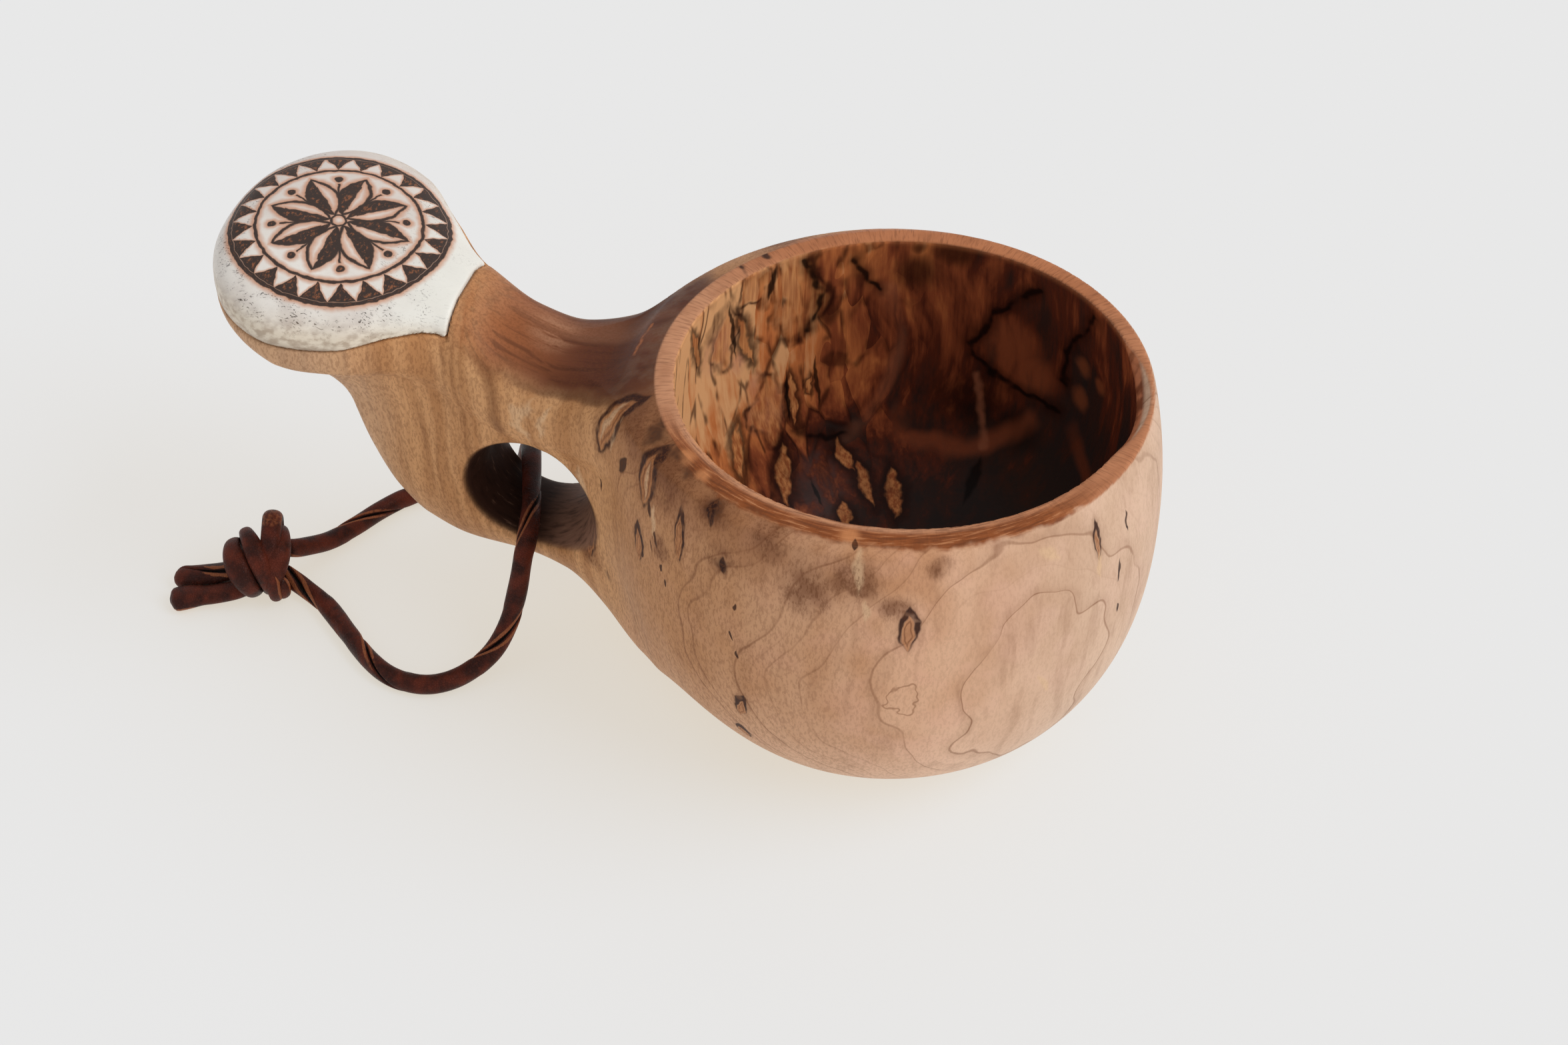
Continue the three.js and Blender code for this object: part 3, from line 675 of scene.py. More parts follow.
def burl_wood(settings):
    s = Shader("burl_wood", 0.45, Specular_IOR_Level=0.05, Coat_Roughness=0.26)
    p = s.place
    x, y, z = p.xyz()
    r = p.tall(0.0).length()
    shape = s.node("ShaderNodeTexCoord", {}, {}, "Normal")
    over = s.fact("over")
    slow = s.sway(p, 22)
    wobble = p + s.sway(p, 2.6) * 1.5

    # Where each surface is: hollow, rim with its lip, finger hole, bowl and handle.
    across = (r / HOLLOW_BELLY) ** HOLLOW_POWER
    down = (HOLLOW_BELLY_HEIGHT - z).most(0.0) / (HOLLOW_BELLY_HEIGHT - HOLLOW_FLOOR)
    inside = (across + down**HOLLOW_POWER).ramp(1.07, 1.02) * (HEIGHT - z).ramp(0.12, 0.42)
    run = (r - MOUTH_RADIUS - RIM_FLAT).most(0.0)
    level = run.ramp(0.5, 0.0)
    soft = (run + (s.noise(p, 2.6, 2) - 0.5) * 2.2).ramp(1.9, 0.7) * x.ramp(-34, -26)
    rim = (z + run * LIP_SLOPE + run * run * LIP_CURVE - HEIGHT).ramp(-0.5, -0.18) * soft.most(level)
    grow = (y * y * (HOLE_FLARE / HOLE_FLARE_AT**2)).least(3 * HOLE_FLARE)
    bore_x, bore_z = x - HOLE[0], z - HOLE[1]
    bore = s.pack(bore_x / (grow + HOLE_HALVES[0]), bore_z / (grow + HOLE_HALVES[1]), 0.0).length()
    bore = bore.ramp(1.075, 1.02) * x.ramp(-50, -54) * abs(y).ramp(22, 16)
    handle = x.ramp(-40, -56)

    # Growth layers cut by the bowl's curve.
    wander = slow * 12 + s.sway(p, 7) * 1.7
    bend = (z - 42.0) * (z - 42.0) * 0.016 * x.ramp(22, 0)
    depth = ((p + wander).dot(LAYERS) - bend) / LAYER
    facing = shape.dot(LAYERS)
    slant = (1.0 - facing * facing).most(0.05) ** 0.5
    number = s.node("ShaderNodeTexWhiteNoise", {"noise_dimensions": "1D"}, {"W": depth.whole()})
    strong = number.ramp(0.4, 0.95, 0.12, 1.0)
    line = (abs(depth.part() - 0.5) * LAYER / slant).ramp(0.36, 0.08) * strong
    line = line * s.noise(p, 11, 1).ramp(0.3, 0.5, 0.3, 1.0)
    shade = depth.part().ramp(0.05, 0.5) * depth.part().ramp(0.56, 0.5) * strong
    fleck = s.noise(p.tall(0.4), 0.5, 2, 0.7)
    fibre = s.noise(p.tall(0.1), 0.8, 2, 0.6)
    curl = s.noise((p + slow * 8).tall(0.14), 3.0, 2, 0.6)
    cloud = s.noise(p.tall(0.6), 13, 2, 0.55)
    colour = (
        s.mix(cloud.ramp(0.34, 0.68), settings.pale_wood, settings.tan_wood)
        .paint(s.noise(p + 40.0, 8, 1).ramp(0.45, 0.7) * 0.5, settings.pink_wood)
        # Painted light: the lower bowl, less towards the handle, is lightened as by light thrown up from the
        # floor.
        .paint(z.ramp(42, 6) * x.ramp(-40, 0) * 0.85, 247, 207, 178)
        # Painted sheen: the side towards +x, which faces the key light, is paler.
        .paint(x.ramp(10, 44) * 0.6, 212, 187, 164)
        # Browner towards the handle, more so higher up: partly the wood's own tone, partly painted shade on the
        # side away from the key light.
        .paint(x.ramp(28, -40) * z.ramp(6, 34, 0.55, 0.85), settings.web_wood)
        .paint(line * 0.4 + shade * 0.16 + curl.ramp(0.5, 0.72) * 0.2, settings.line_wood)
    )

    # The web of the handle: upright streaks.
    grain = x + z * 0.07 + (s.noise(p.tall(0.3), 9, 1) - 0.5) * 7
    streak = s.noise(s.pack(grain, y * 0.15, z * 0.045), 1.7, 3, 0.55)
    veil = s.noise(s.pack(grain, y * 0.15, z * 0.05) + 30.0, 3.6, 2)
    web = s.mix(veil.ramp(0.3, 0.66) * 0.85, settings.web_wood, tint(226, 172, 122))
    web = web.paint(streak.ramp(0.5, 0.7) * 0.34 + fibre.ramp(0.4, 0.7) * 0.12, 132, 86, 54)
    web = web.paint(x.ramp(-90, -104) * 0.5, 216, 182, 152)
    wedge = strand(p + slow * 3, [(-77.0, -11, 66.5), (-74.4, -11, 64), (-72.2, -12.0, 59), (-72.0, -12.4, 50)])
    web = web.paint(wedge.ramp(2.0, 0.3) * 0.45, 96, 58, 38)
    colour = colour.paint(handle, web)

    # The dark top of the handle, with striations that fan out from the antler and follow its curve.
    fan = (-72.0 - x).most(0.0)
    contour = over - fan * fan * 0.06 + (s.noise(p, 9, 1) - 0.5) * 2.0
    stripe = s.noise(s.pack(contour, y * 0.45, x * 0.03), 0.8, 3, 0.6)
    broad = s.noise(s.pack(contour, y * 0.3, x * 0.06), 3.2, 1)
    edge = over - (x + 76.0) * 0.12 + (s.noise(p, 5, 1) - 0.5) * 1.6
    top = ((edge + 4.1) / x.ramp(-58, -80, 1.2, 3.0)).ramp(-1.0, 1.0) * x.ramp(-88, -72)
    outline = abs(edge + 4.1).ramp(0.75, 0.1) * x.ramp(-80, -74) * x.ramp(-44, -50)
    deep = (
        s.mix(x.ramp(-82, -54), settings.saddle_wood, settings.heart_wood)
        .paint(stripe.ramp(0.46, 0.66) * 0.5, 64, 35, 25)
        .paint(broad.ramp(0.46, 0.7) * 0.4, 170, 116, 86)
        # Painted shade: a brown band just above the outline of the dark top.
        .paint((edge + 3.6).ramp(2.6, 0.0) * x.ramp(-78, -60) * 0.45, 76, 44, 31)
        # Painted highlight: a pale patch of sheen on the saddle.
        .paint(stain_and_light_spots(wobble, [(-66, 2, 62.5, 7)]) * stripe.ramp(0.6, 0.4) * 0.35, 200, 152, 120)
        .paint(strand(wobble, [(-47.9, 4.5, 66.9), (-48.2, -4.6, 66.6)]).ramp(0.55, 0.1) * 0.7,
               188, 112, 66)
        .paint(x.ramp(-52, -46) * s.noise(p, 4, 2).ramp(0.35, 0.65) * 0.5, 128, 98, 80)
    )
    colour = colour.paint(top * x.ramp(-34, -42), deep)
    colour = colour.paint(outline * x.ramp(-76, -58, 0.15, 0.4), 60, 34, 25)

    # Stains and figures.
    rough = s.noise(p, 3.4, 2)
    smudge = stain_and_light_spots(p + wander * 0.5, SMUDGES) * rough.ramp(0.25, 0.6, 0.35, 1.0)
    brown = (z + (rough - 0.5) * 9).ramp(55, 67) * x.ramp(12, -24) * x.ramp(-50, -42) * y.ramp(-8, -20)
    colour = colour.paint(brown * 0.55, 138, 84, 53)
    colour = colour.paint(smudge * 0.72, 116, 70, 45)
    spot = stain_and_light_spots(p + wander * 0.3 + s.sway(p.tall(0.4), 1.6) * 2.4, INK)
    colour = colour.paint(spot * 0.8, 58, 34, 26)
    eye = figures(wobble, RINGED_EYES)
    heart = figures(wobble + (0.1, -0.1, 1.1), RINGED_EYES) * 1.24
    ring = eye.ramp(1.32, 1.0) * heart.ramp(0.72, 1.02)
    colour = (
        colour
        .paint(eye.ramp(2.2, 1.0) * 0.28, 120, 76, 48)
        .paint(heart.ramp(1.0, 0.7) * 0.6, 190, 126, 80)
        .paint(abs(heart - 0.45).ramp(0.16, 0.04) * 0.5, 104, 60, 38)
    )
    pale = figures(wobble, PALE_STREAKS).ramp(1.1, 0.2)
    colour = colour.paint(pale * 0.6, 228, 190, 150)
    colour = colour.paint(ring * s.noise(p, 2.2, 1).ramp(0.3, 0.5, 0.5, 0.95), 54, 29, 24)
    dark = figures(wobble, DARK_EYES).ramp(1.3, 0.7)
    colour = colour.paint(dark * 0.9, 52, 28, 22)
    loose = (p + s.sway(p, 2.4) * 4.0 - (11.5, -47.6, 38.1)).length()
    colour = colour.paint(abs(loose - 3.1).ramp(0.3, 0.08) * 0.5, 132, 82, 50)
    colour = colour.paint(fleck.ramp(0.45, 0.62) * (smudge * 0.35 + x.ramp(30, -30) * 0.22 + 0.1),
                          110, 66, 40)

    # Rim and lip: end grain.
    ends = s.noise(s.pack(x / r * RIM_MIDDLE, y / r * RIM_MIDDLE, r * 0.12 + z * 0.1), 0.5, 2, 0.7)
    patch = s.noise(p, 6, 2)
    front = y.ramp(-16, -32)
    cut = (
        s.mix(y.ramp(10, 34).most(x.ramp(8, 36) * 0.7) * 0.85, settings.rim_wood, tint(190, 120, 80))
        .paint(front * r.ramp(41.0, 42.2), settings.lip_wood)
        .paint(patch.ramp(0.4, 0.7) * 0.3, 138, 82, 52)
        .paint(ends.ramp(0.45, 0.72) * (0.4 - front * 0.25), 92, 52, 34)
    )
    arc = y.heading(x) * RIM_MIDDLE
    flaky = s.noise(s.pack(arc * 0.2 + r * 0.7, r * 1.7, z * 1.5), 1.1, 3, 0.65)
    cut = cut.paint(front * flaky.ramp(0.46, 0.62) * 0.5, 92, 52, 34)
    cut = cut.paint(front * flaky.ramp(0.46, 0.34) * 0.6, 206, 142, 98)
    ember = stain_and_light_spots(p, [(1.1, -43.2, 69, 2.4), (-30.5, -31.5, 69, 2.8), (-26.4, -35.4, 69, 2.2)])
    cut = cut.paint(ember * 0.7, 216, 144, 94)
    ink = strand(wobble, [(-35.4, 30, 69), (-32.8, 27.3, 69), (-29.8, 26.6, 67.4)])
    ink = ink.least(strand(wobble, [(-38, 24.6, 69), (-36.6, 23.0, 69), (-34.3, 20.6, 68.4)]) + 0.25)
    cut = cut.paint(ink.ramp(1.0, 0.3) * 0.85, 30, 24, 27)
    colour = colour.paint(rim, cut)
    colour = colour.paint(dark * rim * 0.85, 52, 28, 22)

    # The hollow, finished with oil: tones in upright flames, brighter on the side of the handle, partly by
    # painted light.
    flow = p + slow * 9 + s.sway(p.tall(0.4), 5) * 3.0
    flame = s.noise(flow.tall(0.2), 3.6, 3, 0.55)
    mass = s.noise(flow.tall(0.55), 9, 1)
    fine = s.noise(p.tall(0.07), 0.8, 2, 0.6)
    burly = x.ramp(2, -24)
    tongues = flow.tall(0.24)
    tone = s.node("ShaderNodeTexVoronoi", {}, {"Vector": tongues, "Scale": 1.0 / TONGUE}, 1)
    tone = tone.dot((1.0, 0.0, 0.0))
    # The terms below that follow x and z are partly the wood's own tone and partly painted light and shade:
    # lighter on the handle side, where the key light falls into the hollow, and darker lower down, where the
    # hollow is in shade.
    tone_and_light = 0.33 + x.ramp(-20, -38) * 0.24 - x * 0.0086 + (z - 40.0).least(14.0) * 0.0085
    tone_and_light = tone_and_light + (z - 54.0).most(0.0) * (x.ramp(0, -30) * 0.011 + 0.003)
    tone_and_light = tone_and_light + x.ramp(18, 38) * z.ramp(36, 60) * 0.2
    tone_and_light = tone_and_light + (flame - 0.5) * 0.85 + (mass - 0.5) * 0.5 + (fine - 0.5) * 0.24 + (tone - 0.5) * burly * 0.34
    oiled_and_lit = s.band(tone_and_light, *((at, tint(*parts)) for at, *parts in OIL_STOPS))
    webbing = s.cells(tongues, TONGUE).ramp(0.11, 0.01) * burly * s.noise(p, 5, 1).ramp(0.4, 0.6)
    oiled_and_lit = oiled_and_lit.paint(webbing * 0.75, 50, 22, 16)
    patches = stain_and_light_spots(flow, BURL_PATCHES) * s.noise(p.tall(0.5), 2.4, 2).ramp(0.35, 0.6, 0.3, 1.0)
    oiled_and_lit = (
        oiled_and_lit
        .paint(patches * 0.75, 214, 150, 116)
        # Painted reflection: a greyish patch of soft light on the floor of the hollow.
        .paint(stain_and_light_spots(flow, [(-20.6, 24.0, 21.6, 8), (-21.5, 18, 17, 7)]) * flame.ramp(0.6, 0.4) * 0.6,
               92, 66, 62)
        .paint(stain_and_light_spots(flow, [(-5.9, 40.1, 61.4, 7), (0.9, 40.2, 67, 6), (-6, 40, 68, 3)]) * 0.8,
               50, 24, 16)
        # Dark patches low on the far wall towards +x: partly dark wood, partly painted shade.
        .paint(stain_and_light_spots(flow, [(6, 37, 36, 9), (14, 34, 33, 8), (0, 36, 38, 6)]) * 0.7, 30, 15, 11)
        # Painted reflection: a pale streak of light down the far wall.
        .paint(strand(flow, PAINTED_REFLECTION_STREAK).ramp(2.8, 0.4) * 0.4, 176, 110, 80)
        .paint(stain_and_light_spots(p + slow * 6, [(11.5, 38.6, 49, 9), (16, 36.5, 45, 7)]) * flame.ramp(0.3, 0.6, 0.4, 0.9),
               150, 82, 52)
        .paint(strand(flow, ARC).ramp(3.4, 0.4) * 0.6, 158, 86, 56)
        .paint(strand(wobble, [(5.5, 39.6, 40), (7.0, 38.2, 34), (8.6, 34.5, 26.9)]).ramp(1.3, 0.0) * 0.55,
               176, 112, 82)
        .paint(stain_and_light_spots(wobble, [(26.9, 30.7, 53.2, 3), (30.8, 26.8, 52.3, 2.4), (27, 30.4, 46, 3.4)]) * 0.5,
               168, 94, 56)
        .paint(strand(flow, [(25.0, 30.5, 39), (30.4, 25.2, 34)]).ramp(3, 0.6) * 0.5, 136, 68, 40)
    )

    # Lobes with a dark outline, then almond flames, contours and slits.
    ragged = p + s.sway(p, 6) * 9 + s.sway(p, 1.8) * 1.6
    lobe = reduce(Value.least, ((ragged - tuple(middle)).tall(0.6).length() / wide for *middle, wide in LOBES))
    gold = s.mix(fine.ramp(0.3, 0.7), tint(168, 94, 54), tint(224, 152, 94))
    oiled_and_lit = oiled_and_lit.paint(lobe.ramp(1.1, 0.7) * flame.ramp(0.2, 0.6, 0.35, 0.8), gold)
    oiled_and_lit = oiled_and_lit.paint(abs(lobe - 1.08).ramp(0.26, 0.0) * flame.ramp(0.6, 0.4, 0.35, 0.85), 54, 24, 17)
    spark = figures(p + s.sway(p, 3.2) * 2.6 + s.sway(p, 1.1) * 0.8, FLAMES)
    oiled_and_lit = oiled_and_lit.paint(spark.ramp(2.8, 1.1) * 0.8, 42, 20, 15)
    oiled_and_lit = oiled_and_lit.paint(spark.ramp(1.15, 0.55) * flame.ramp(0.25, 0.6, 0.55, 0.95), gold)
    slit = figures(wobble, SLITS).ramp(1.5, 0.6)
    seam = reduce(Value.least, (strand(p + s.sway(p, 3.4) * 2.8, points) for points in CONTOURS))
    oiled_and_lit = oiled_and_lit.paint(seam.ramp(3.0, 0.2) * 0.6, 46, 22, 16)
    oiled_and_lit = oiled_and_lit.paint(slit.most(seam.ramp(0.95, 0.2)) * 0.88, 18, 11, 10)
    turned = (p.tall(0.0) - (*BEVEL_MIDDLE, 0.0)).length()
    chamfer = abs(turned - BEVEL_RADIUS + (HEIGHT - z) * BEVEL_STEEP).ramp(0.7, 0.3)
    shaved = s.mix(s.noise(p, 3, 2).ramp(0.35, 0.65), tint(132, 76, 50), tint(204, 130, 92))
    oiled_and_lit = oiled_and_lit.paint(chamfer * 0.8, shaved)
    # Painted highlight along the inner edge of the rim.
    oiled_and_lit = oiled_and_lit.paint((HEIGHT - z).ramp(1.6, 0.3) * 0.3, 190, 120, 76)
    colour = colour.paint(inside, oiled_and_lit)

    # Inside the finger hole: fibres that run round it, on dark wood with painted shade, made lighter towards
    # the lower right by painted light.
    around = bore_z.heading(bore_x)
    thread = s.noise(s.pack(around * 2.4, y * 0.9, 0.0), 0.9, 3, 0.6)
    bore_wood_and_shade = s.mix(bore_x.ramp(-2, 6) * bore_z.ramp(6, -4), tint(58, 37, 29), tint(134, 98, 80))
    bore_wood_and_shade = bore_wood_and_shade.paint(thread.ramp(0.45, 0.7) * 0.55, 34, 21, 18)
    bore_wood_and_shade = bore_wood_and_shade.paint(thread.ramp(0.42, 0.25) * 0.4, 160, 122, 100)
    colour = colour.paint(bore, bore_wood_and_shade)

    coat = (1.0 - inside * 0.3) * (1.0 - bore * 0.8) * 0.05
    roughness = fleck.ramp(0.25, 0.75, 0.4, 0.52) - inside * 0.06
    height = fleck * 0.4 + fibre * 0.4 + ends * rim * 1.2 - ring * 0.6 - dark * 0.8
    return s.finish(colour, roughness, height, 0.05, coat)


def antler(settings):
    s = Shader("antler", 0.36, Coat_Weight=0.12, Coat_Roughness=0.15, Specular_IOR_Level=0.35)
    p = s.place
    x, y, z = p.xyz()
    rim, over = s.fact("rim"), s.fact("over")

    # Tints, pores near the edge, and the tan side above the seam.
    cloud = s.noise(p, 9, 2)
    colour = s.mix(cloud.ramp(0.35, 0.7), settings.pale_antler, settings.grey_antler)
    back = (y * 0.6 - x * 0.4).ramp(38, 66)
    colour = colour.paint(back * 0.55, 212, 194, 186)
    colour = colour.paint(x.ramp(-98, -86) * 0.7, 240, 239, 230)
    wide = (p + s.sway(p, 2.2) * 1.6) * (0.45, 1.0, 1.0)
    pores = s.noise(wide, 0.34, 2, 0.6).ramp(0.57, 0.68)
    dense = s.noise(p, 4.0, 2).ramp(0.38, 0.6)
    band = rim.ramp(0.8, 2.6) * rim.ramp(10, 5.5) * y.ramp(16, 0) * x.ramp(-84, -94)
    patch = stain_and_light_spots(p, [(-94, 2, 76, 8), (-95, 14, 76, 7), (-122, 20, 78, 9)])
    pores = pores * (dense * band * 0.95 + (rim.ramp(9, 2) * 0.3 + patch * 0.45) * dense + 0.04)
    colour = colour.paint(dense * band * 0.24 + patch * 0.16, 178, 164, 158)
    colour = colour.paint(pores, 62, 52, 52)
    # The side is painted tan, and brown just above the seam.
    side = over.ramp(-2.2, -5.6)
    side_tone = s.mix(s.noise(p.tall(2.0), 2.0, 3).ramp(0.4, 0.66), tint(228, 212, 188), tint(176, 152, 124))
    colour = colour.paint(side * 0.8, side_tone)
    colour = colour.paint(over.ramp(-6.2, -8.0) * 0.6, 122, 92, 66)

    # A burnt ornament: a rosette of eight leaves in a zigzag border.
    hand = (p + s.sway(p, 1.6) * 0.7 - (-107.0, 5.0, 0.0)) / ORNAMENT_SCALE
    u, v, _ = hand.xyz()
    out = (u * u + v * v) ** 0.5
    angle = v.heading(u) / (2 * math.pi)
    eighth = ((angle * 8 + 0.5).part() - 0.5) * (2 * math.pi / 8)
    along, across = out * eighth.cosine(), out * eighth.sine()
    leaf = (abs(across) / 2.5 + ((along - 6.9) / 5.3) ** 2 - 1.0) * 1.7
    half = leaf.most(across * -1.0)
    rib = abs(across).most(abs(along - 6.6) - 3.2)
    between = ((angle * 8).part() - 0.5) * (2 * math.pi / 8)
    dot = ((out * between.cosine() - 11.4) ** 2 + (out * between.sine()) ** 2) ** 0.5 - 0.75
    stem = abs(out * between.sine()).most(abs(out * between.cosine() - 7.6) - 2.4)
    tooth = (abs((angle * 24).part() - 0.5) - 0.25) * 7.6
    teeth = (tooth - (out - 16.4)).most(out - 18.2).most(14.4 - out)
    burnt = (abs(leaf) - 0.24).least(half).least(rib - 0.16).least(dot).least(stem - 0.2)
    burnt = burnt.least(abs(out - 14.2) - 0.3).least(abs(out - 18.6) - 0.38).least(teeth)
    burnt = burnt.least(abs(out - 1.3) - 0.22)
    char = s.noise(p * (1.0, 0.6, 1.0), 0.7, 2, 0.7)
    black = burnt.ramp(0.12, -0.12)
    colour = colour.paint(burnt.ramp(1.1, 0.0) * 0.7, 202, 122, 62)
    soot = s.mix(char.ramp(0.5, 0.7) * burnt.ramp(-0.15, -0.6) * 0.8, tint(32, 20, 17), tint(150, 88, 50))
    colour = colour.paint(black * 0.96, soot)
    height = pores * -0.7 - black * 0.8 + s.noise(p, 2.5, 3) * 0.25
    return s.finish(colour, black * 0.2 + side * 0.1 + 0.34, height, 0.12)


def leather(settings):
    s = Shader("leather", 0.42, Specular_IOR_Level=0.16)
    p = s.place
    raw = s.fact("raw")
    grain = s.cells(p, 0.5)
    wear = s.noise(p, 3.4, 2)
    colour = s.mix(wear.ramp(0.35, 0.68), settings.dark_leather, settings.red_leather)
    colour = colour.paint(s.noise(p, 0.7, 2).ramp(0.5, 0.8) * 0.25, 124, 60, 40)
    fray = raw + (s.noise(p, 0.7, 2) - 0.5) * 0.5
    colour = colour.paint(fray.ramp(0.35, 0.6), settings.raw_leather)
    # Painted shade: the open seam of the rolled thong and the edges of flat strips are painted near black.
    colour = colour.paint(s.fact("gap").ramp(0.35, 0.75), 16, 9, 8)
    height = grain.ramp(0.0, 0.12) * 0.5 + wear * 0.6 + fray * 0.3
    return s.finish(colour, wear.ramp(0.3, 0.7, 0.36, 0.52), height, 0.12)


# ---------------------------------------------------------------- settings
def colour(name, description, default):
    return FloatVectorProperty(name=name, description=description, default=default, subtype="COLOR",
                               min=0, max=1)


class CupSettings(bpy.types.PropertyGroup):
    """The wooden cup."""
    facet: FloatProperty(name="Facet", description="Size of the mesh's faces on the cup, in millimetres",
                         default=0.7, min=0.4, max=3)
    pale_wood: colour("Pale wood", "Palest wood of the bowl", tint(232, 184, 150))
    tan_wood: colour("Tan wood", "Darker wood of the bowl", tint(206, 151, 113))
    pink_wood: colour("Pink wood", "Rosy patches", tint(236, 182, 154))
    line_wood: colour("Line wood", "Growth lines", tint(132, 84, 54))
    web_wood: colour("Web wood", "Sides of the handle", tint(190, 136, 90))
    saddle_wood: colour("Saddle wood", "Top of the handle beside the antler", tint(168, 103, 64))
    heart_wood: colour("Heart wood", "Top of the handle beside the bowl", tint(98, 52, 36))
    rim_wood: colour("Rim wood", "Level edge of the mouth", tint(204, 146, 110))
    lip_wood: colour("Lip wood", "Slope outside the edge", tint(150, 84, 46))


class AntlerSettings(bpy.types.PropertyGroup):
    """The antler inlay."""
    facet: FloatProperty(name="Facet", description="Size of the mesh's faces on the antler, in millimetres",
                         default=0.45, min=0.3, max=2)
    pale_antler: colour("Pale antler", "Polished antler", tint(241, 235, 227))
    grey_antler: colour("Grey antler", "Cloudy antler", tint(230, 221, 212))


class ThongSettings(bpy.types.PropertyGroup):
    """The leather thong."""
    sides: IntProperty(name="Sides", description="Faces round the thong", default=36, min=8, max=64)
    lay_length: FloatProperty(name="Lay length", default=28, min=8, max=80,
                              description="Length of one turn of the rolled edge, in millimetres")
    dark_leather: colour("Dark leather", "Waxed outside", tint(56, 25, 18))
    red_leather: colour("Red leather", "Worn outside", tint(98, 42, 27))
    raw_leather: colour("Raw leather", "Cut edge", tint(150, 88, 56))


class StageSettings(bpy.types.PropertyGroup):
    """Floor, lights and camera."""
    lens: FloatProperty(name="Lens", description="Focal length of the camera, in millimetres", default=60,
                        min=10, max=300)
    ambient: FloatProperty(name="Ambient", description="Strength of the even light from all round",
                           default=0.55, min=0, max=5)
    key: FloatProperty(name="Key", description="Strength of the soft light from the right", default=1.5,
                       min=0, max=20)
    key_side: FloatProperty(name="Key side", description="Direction that the key light comes from, from +X",
                            default=math.radians(2), subtype="ANGLE")
    key_rise: FloatProperty(name="Key rise", description="Height of the key light over the floor",
                            default=math.radians(38), subtype="ANGLE")
    glow: FloatProperty(name="Glow", description="Light that the floor gives of its own", default=1.0,
                        min=0, max=2)


# ---------------------------------------------------------------- wood and antler
def build_cup(settings):
    points, quads, normals = skin(cup_shape, *CUP_SPACE, settings.facet)
    x, _, z = points.T
    piece = mesh_piece("carved_cup", points, quads, normals=normals, facts={"over": z - top_line(x)})
    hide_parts("cup_body")
    return put(piece, burl_wood(settings))


def plan(x, y):
    """Positive inside the outline of the handle's end, seen from above."""
    wide = paddle_half_width(x) * round_end(x, TIP, TIP_ROUND)
    return wide**2 - (y - middle_line(x)) ** 2 - BIG * np.maximum(TIP - x, 0)


def build_antler(settings):
    points, quads, normals = skin(antler_shape, *ANTLER_SPACE, settings.facet)
    x, y, z = points.T
    step = 0.1
    steep = np.hypot(plan(x + step, y) - plan(x - step, y), plan(x, y + step) - plan(x, y - step)) / (2 * step)
    facts = {
        "rim": plan(x, y) / np.maximum(steep, 1),
        "over": z - HANDLE_ROLL * (y - middle_line(x)) * ramp(*ROLL, x) - top_line(x),
    }
    piece = mesh_piece("antler_plate", points, quads, normals=normals, facts=facts)
    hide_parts("antler_inlay")
    return put(piece, antler(settings))


# ---------------------------------------------------------------- leather
def run_along(path):
    """How far along a path each of its points is."""
    return np.concatenate([[0], np.cumsum(np.linalg.norm(np.diff(path, axis=0), axis=1))])


def smooth_path(points, step=0.7, closed=False):
    """Even points along a smooth curve through the given ones, and its length."""
    p = np.array(points, float)
    ends = (p[-1:], p[:1], p[1:2]) if closed else (2 * p[:1] - p[1:2], 2 * p[-1:] - p[-2:-1])
    q = np.concatenate([ends[0], p, *ends[1:]])
    t = np.linspace(0, 1, 24, endpoint=False)[:, None]
    parts = []
    for a, b, c, d in zip(q, q[1:], q[2:], q[3:]):
        parts.append(0.5 * (2 * b + (c - a) * t + (2 * a - 5 * b + 4 * c - d) * t**2
                            + (3 * b - a - 3 * c + d) * t**3))
    line = np.concatenate(parts + ([] if closed else [p[-1:]]))
    if closed:
        line = np.concatenate([line, line[:1]])
    run = run_along(line)
    goal = np.linspace(0, run[-1], max(int(run[-1] / step), 4) + 1)
    even = np.stack([np.interp(goal, run, line[:, n]) for n in range(3)], 1)
    return (even[:-1] if closed else even), run[-1]


def sweep(path, up, across, rise, closed=False):
    """Points and faces of a skin whose rings lie that far across and up from a path."""
    n, sides = across.shape
    along = np.roll(path, -1, 0) - np.roll(path, 1, 0) if closed else np.gradient(path, axis=0)
    along /= np.linalg.norm(along, axis=1)[:, None]
    side = np.cross(along, up)
    side /= np.linalg.norm(side, axis=1)[:, None]
    up = np.cross(side, along)
    points = (path[:, None] + side[:, None] * across[..., None] + up[:, None] * rise[..., None]).reshape(-1, 3)
    faces = [(a + k, b + k, b + m, a + m)
             for a, b in ((i * sides, (i + 1) % n * sides) for i in range(n if closed else n - 1))
             for k, m in ((k, (k + 1) % sides) for k in range(sides))]
    if not closed:
        first, last = len(points), len(points) + 1
        points = np.concatenate([points, path[:1], path[-1:]])
        for k in range(sides):
            m = (k + 1) % sides
            faces += [(k, m, first), ((n - 1) * sides + m, (n - 1) * sides + k, last)]
    return points, faces


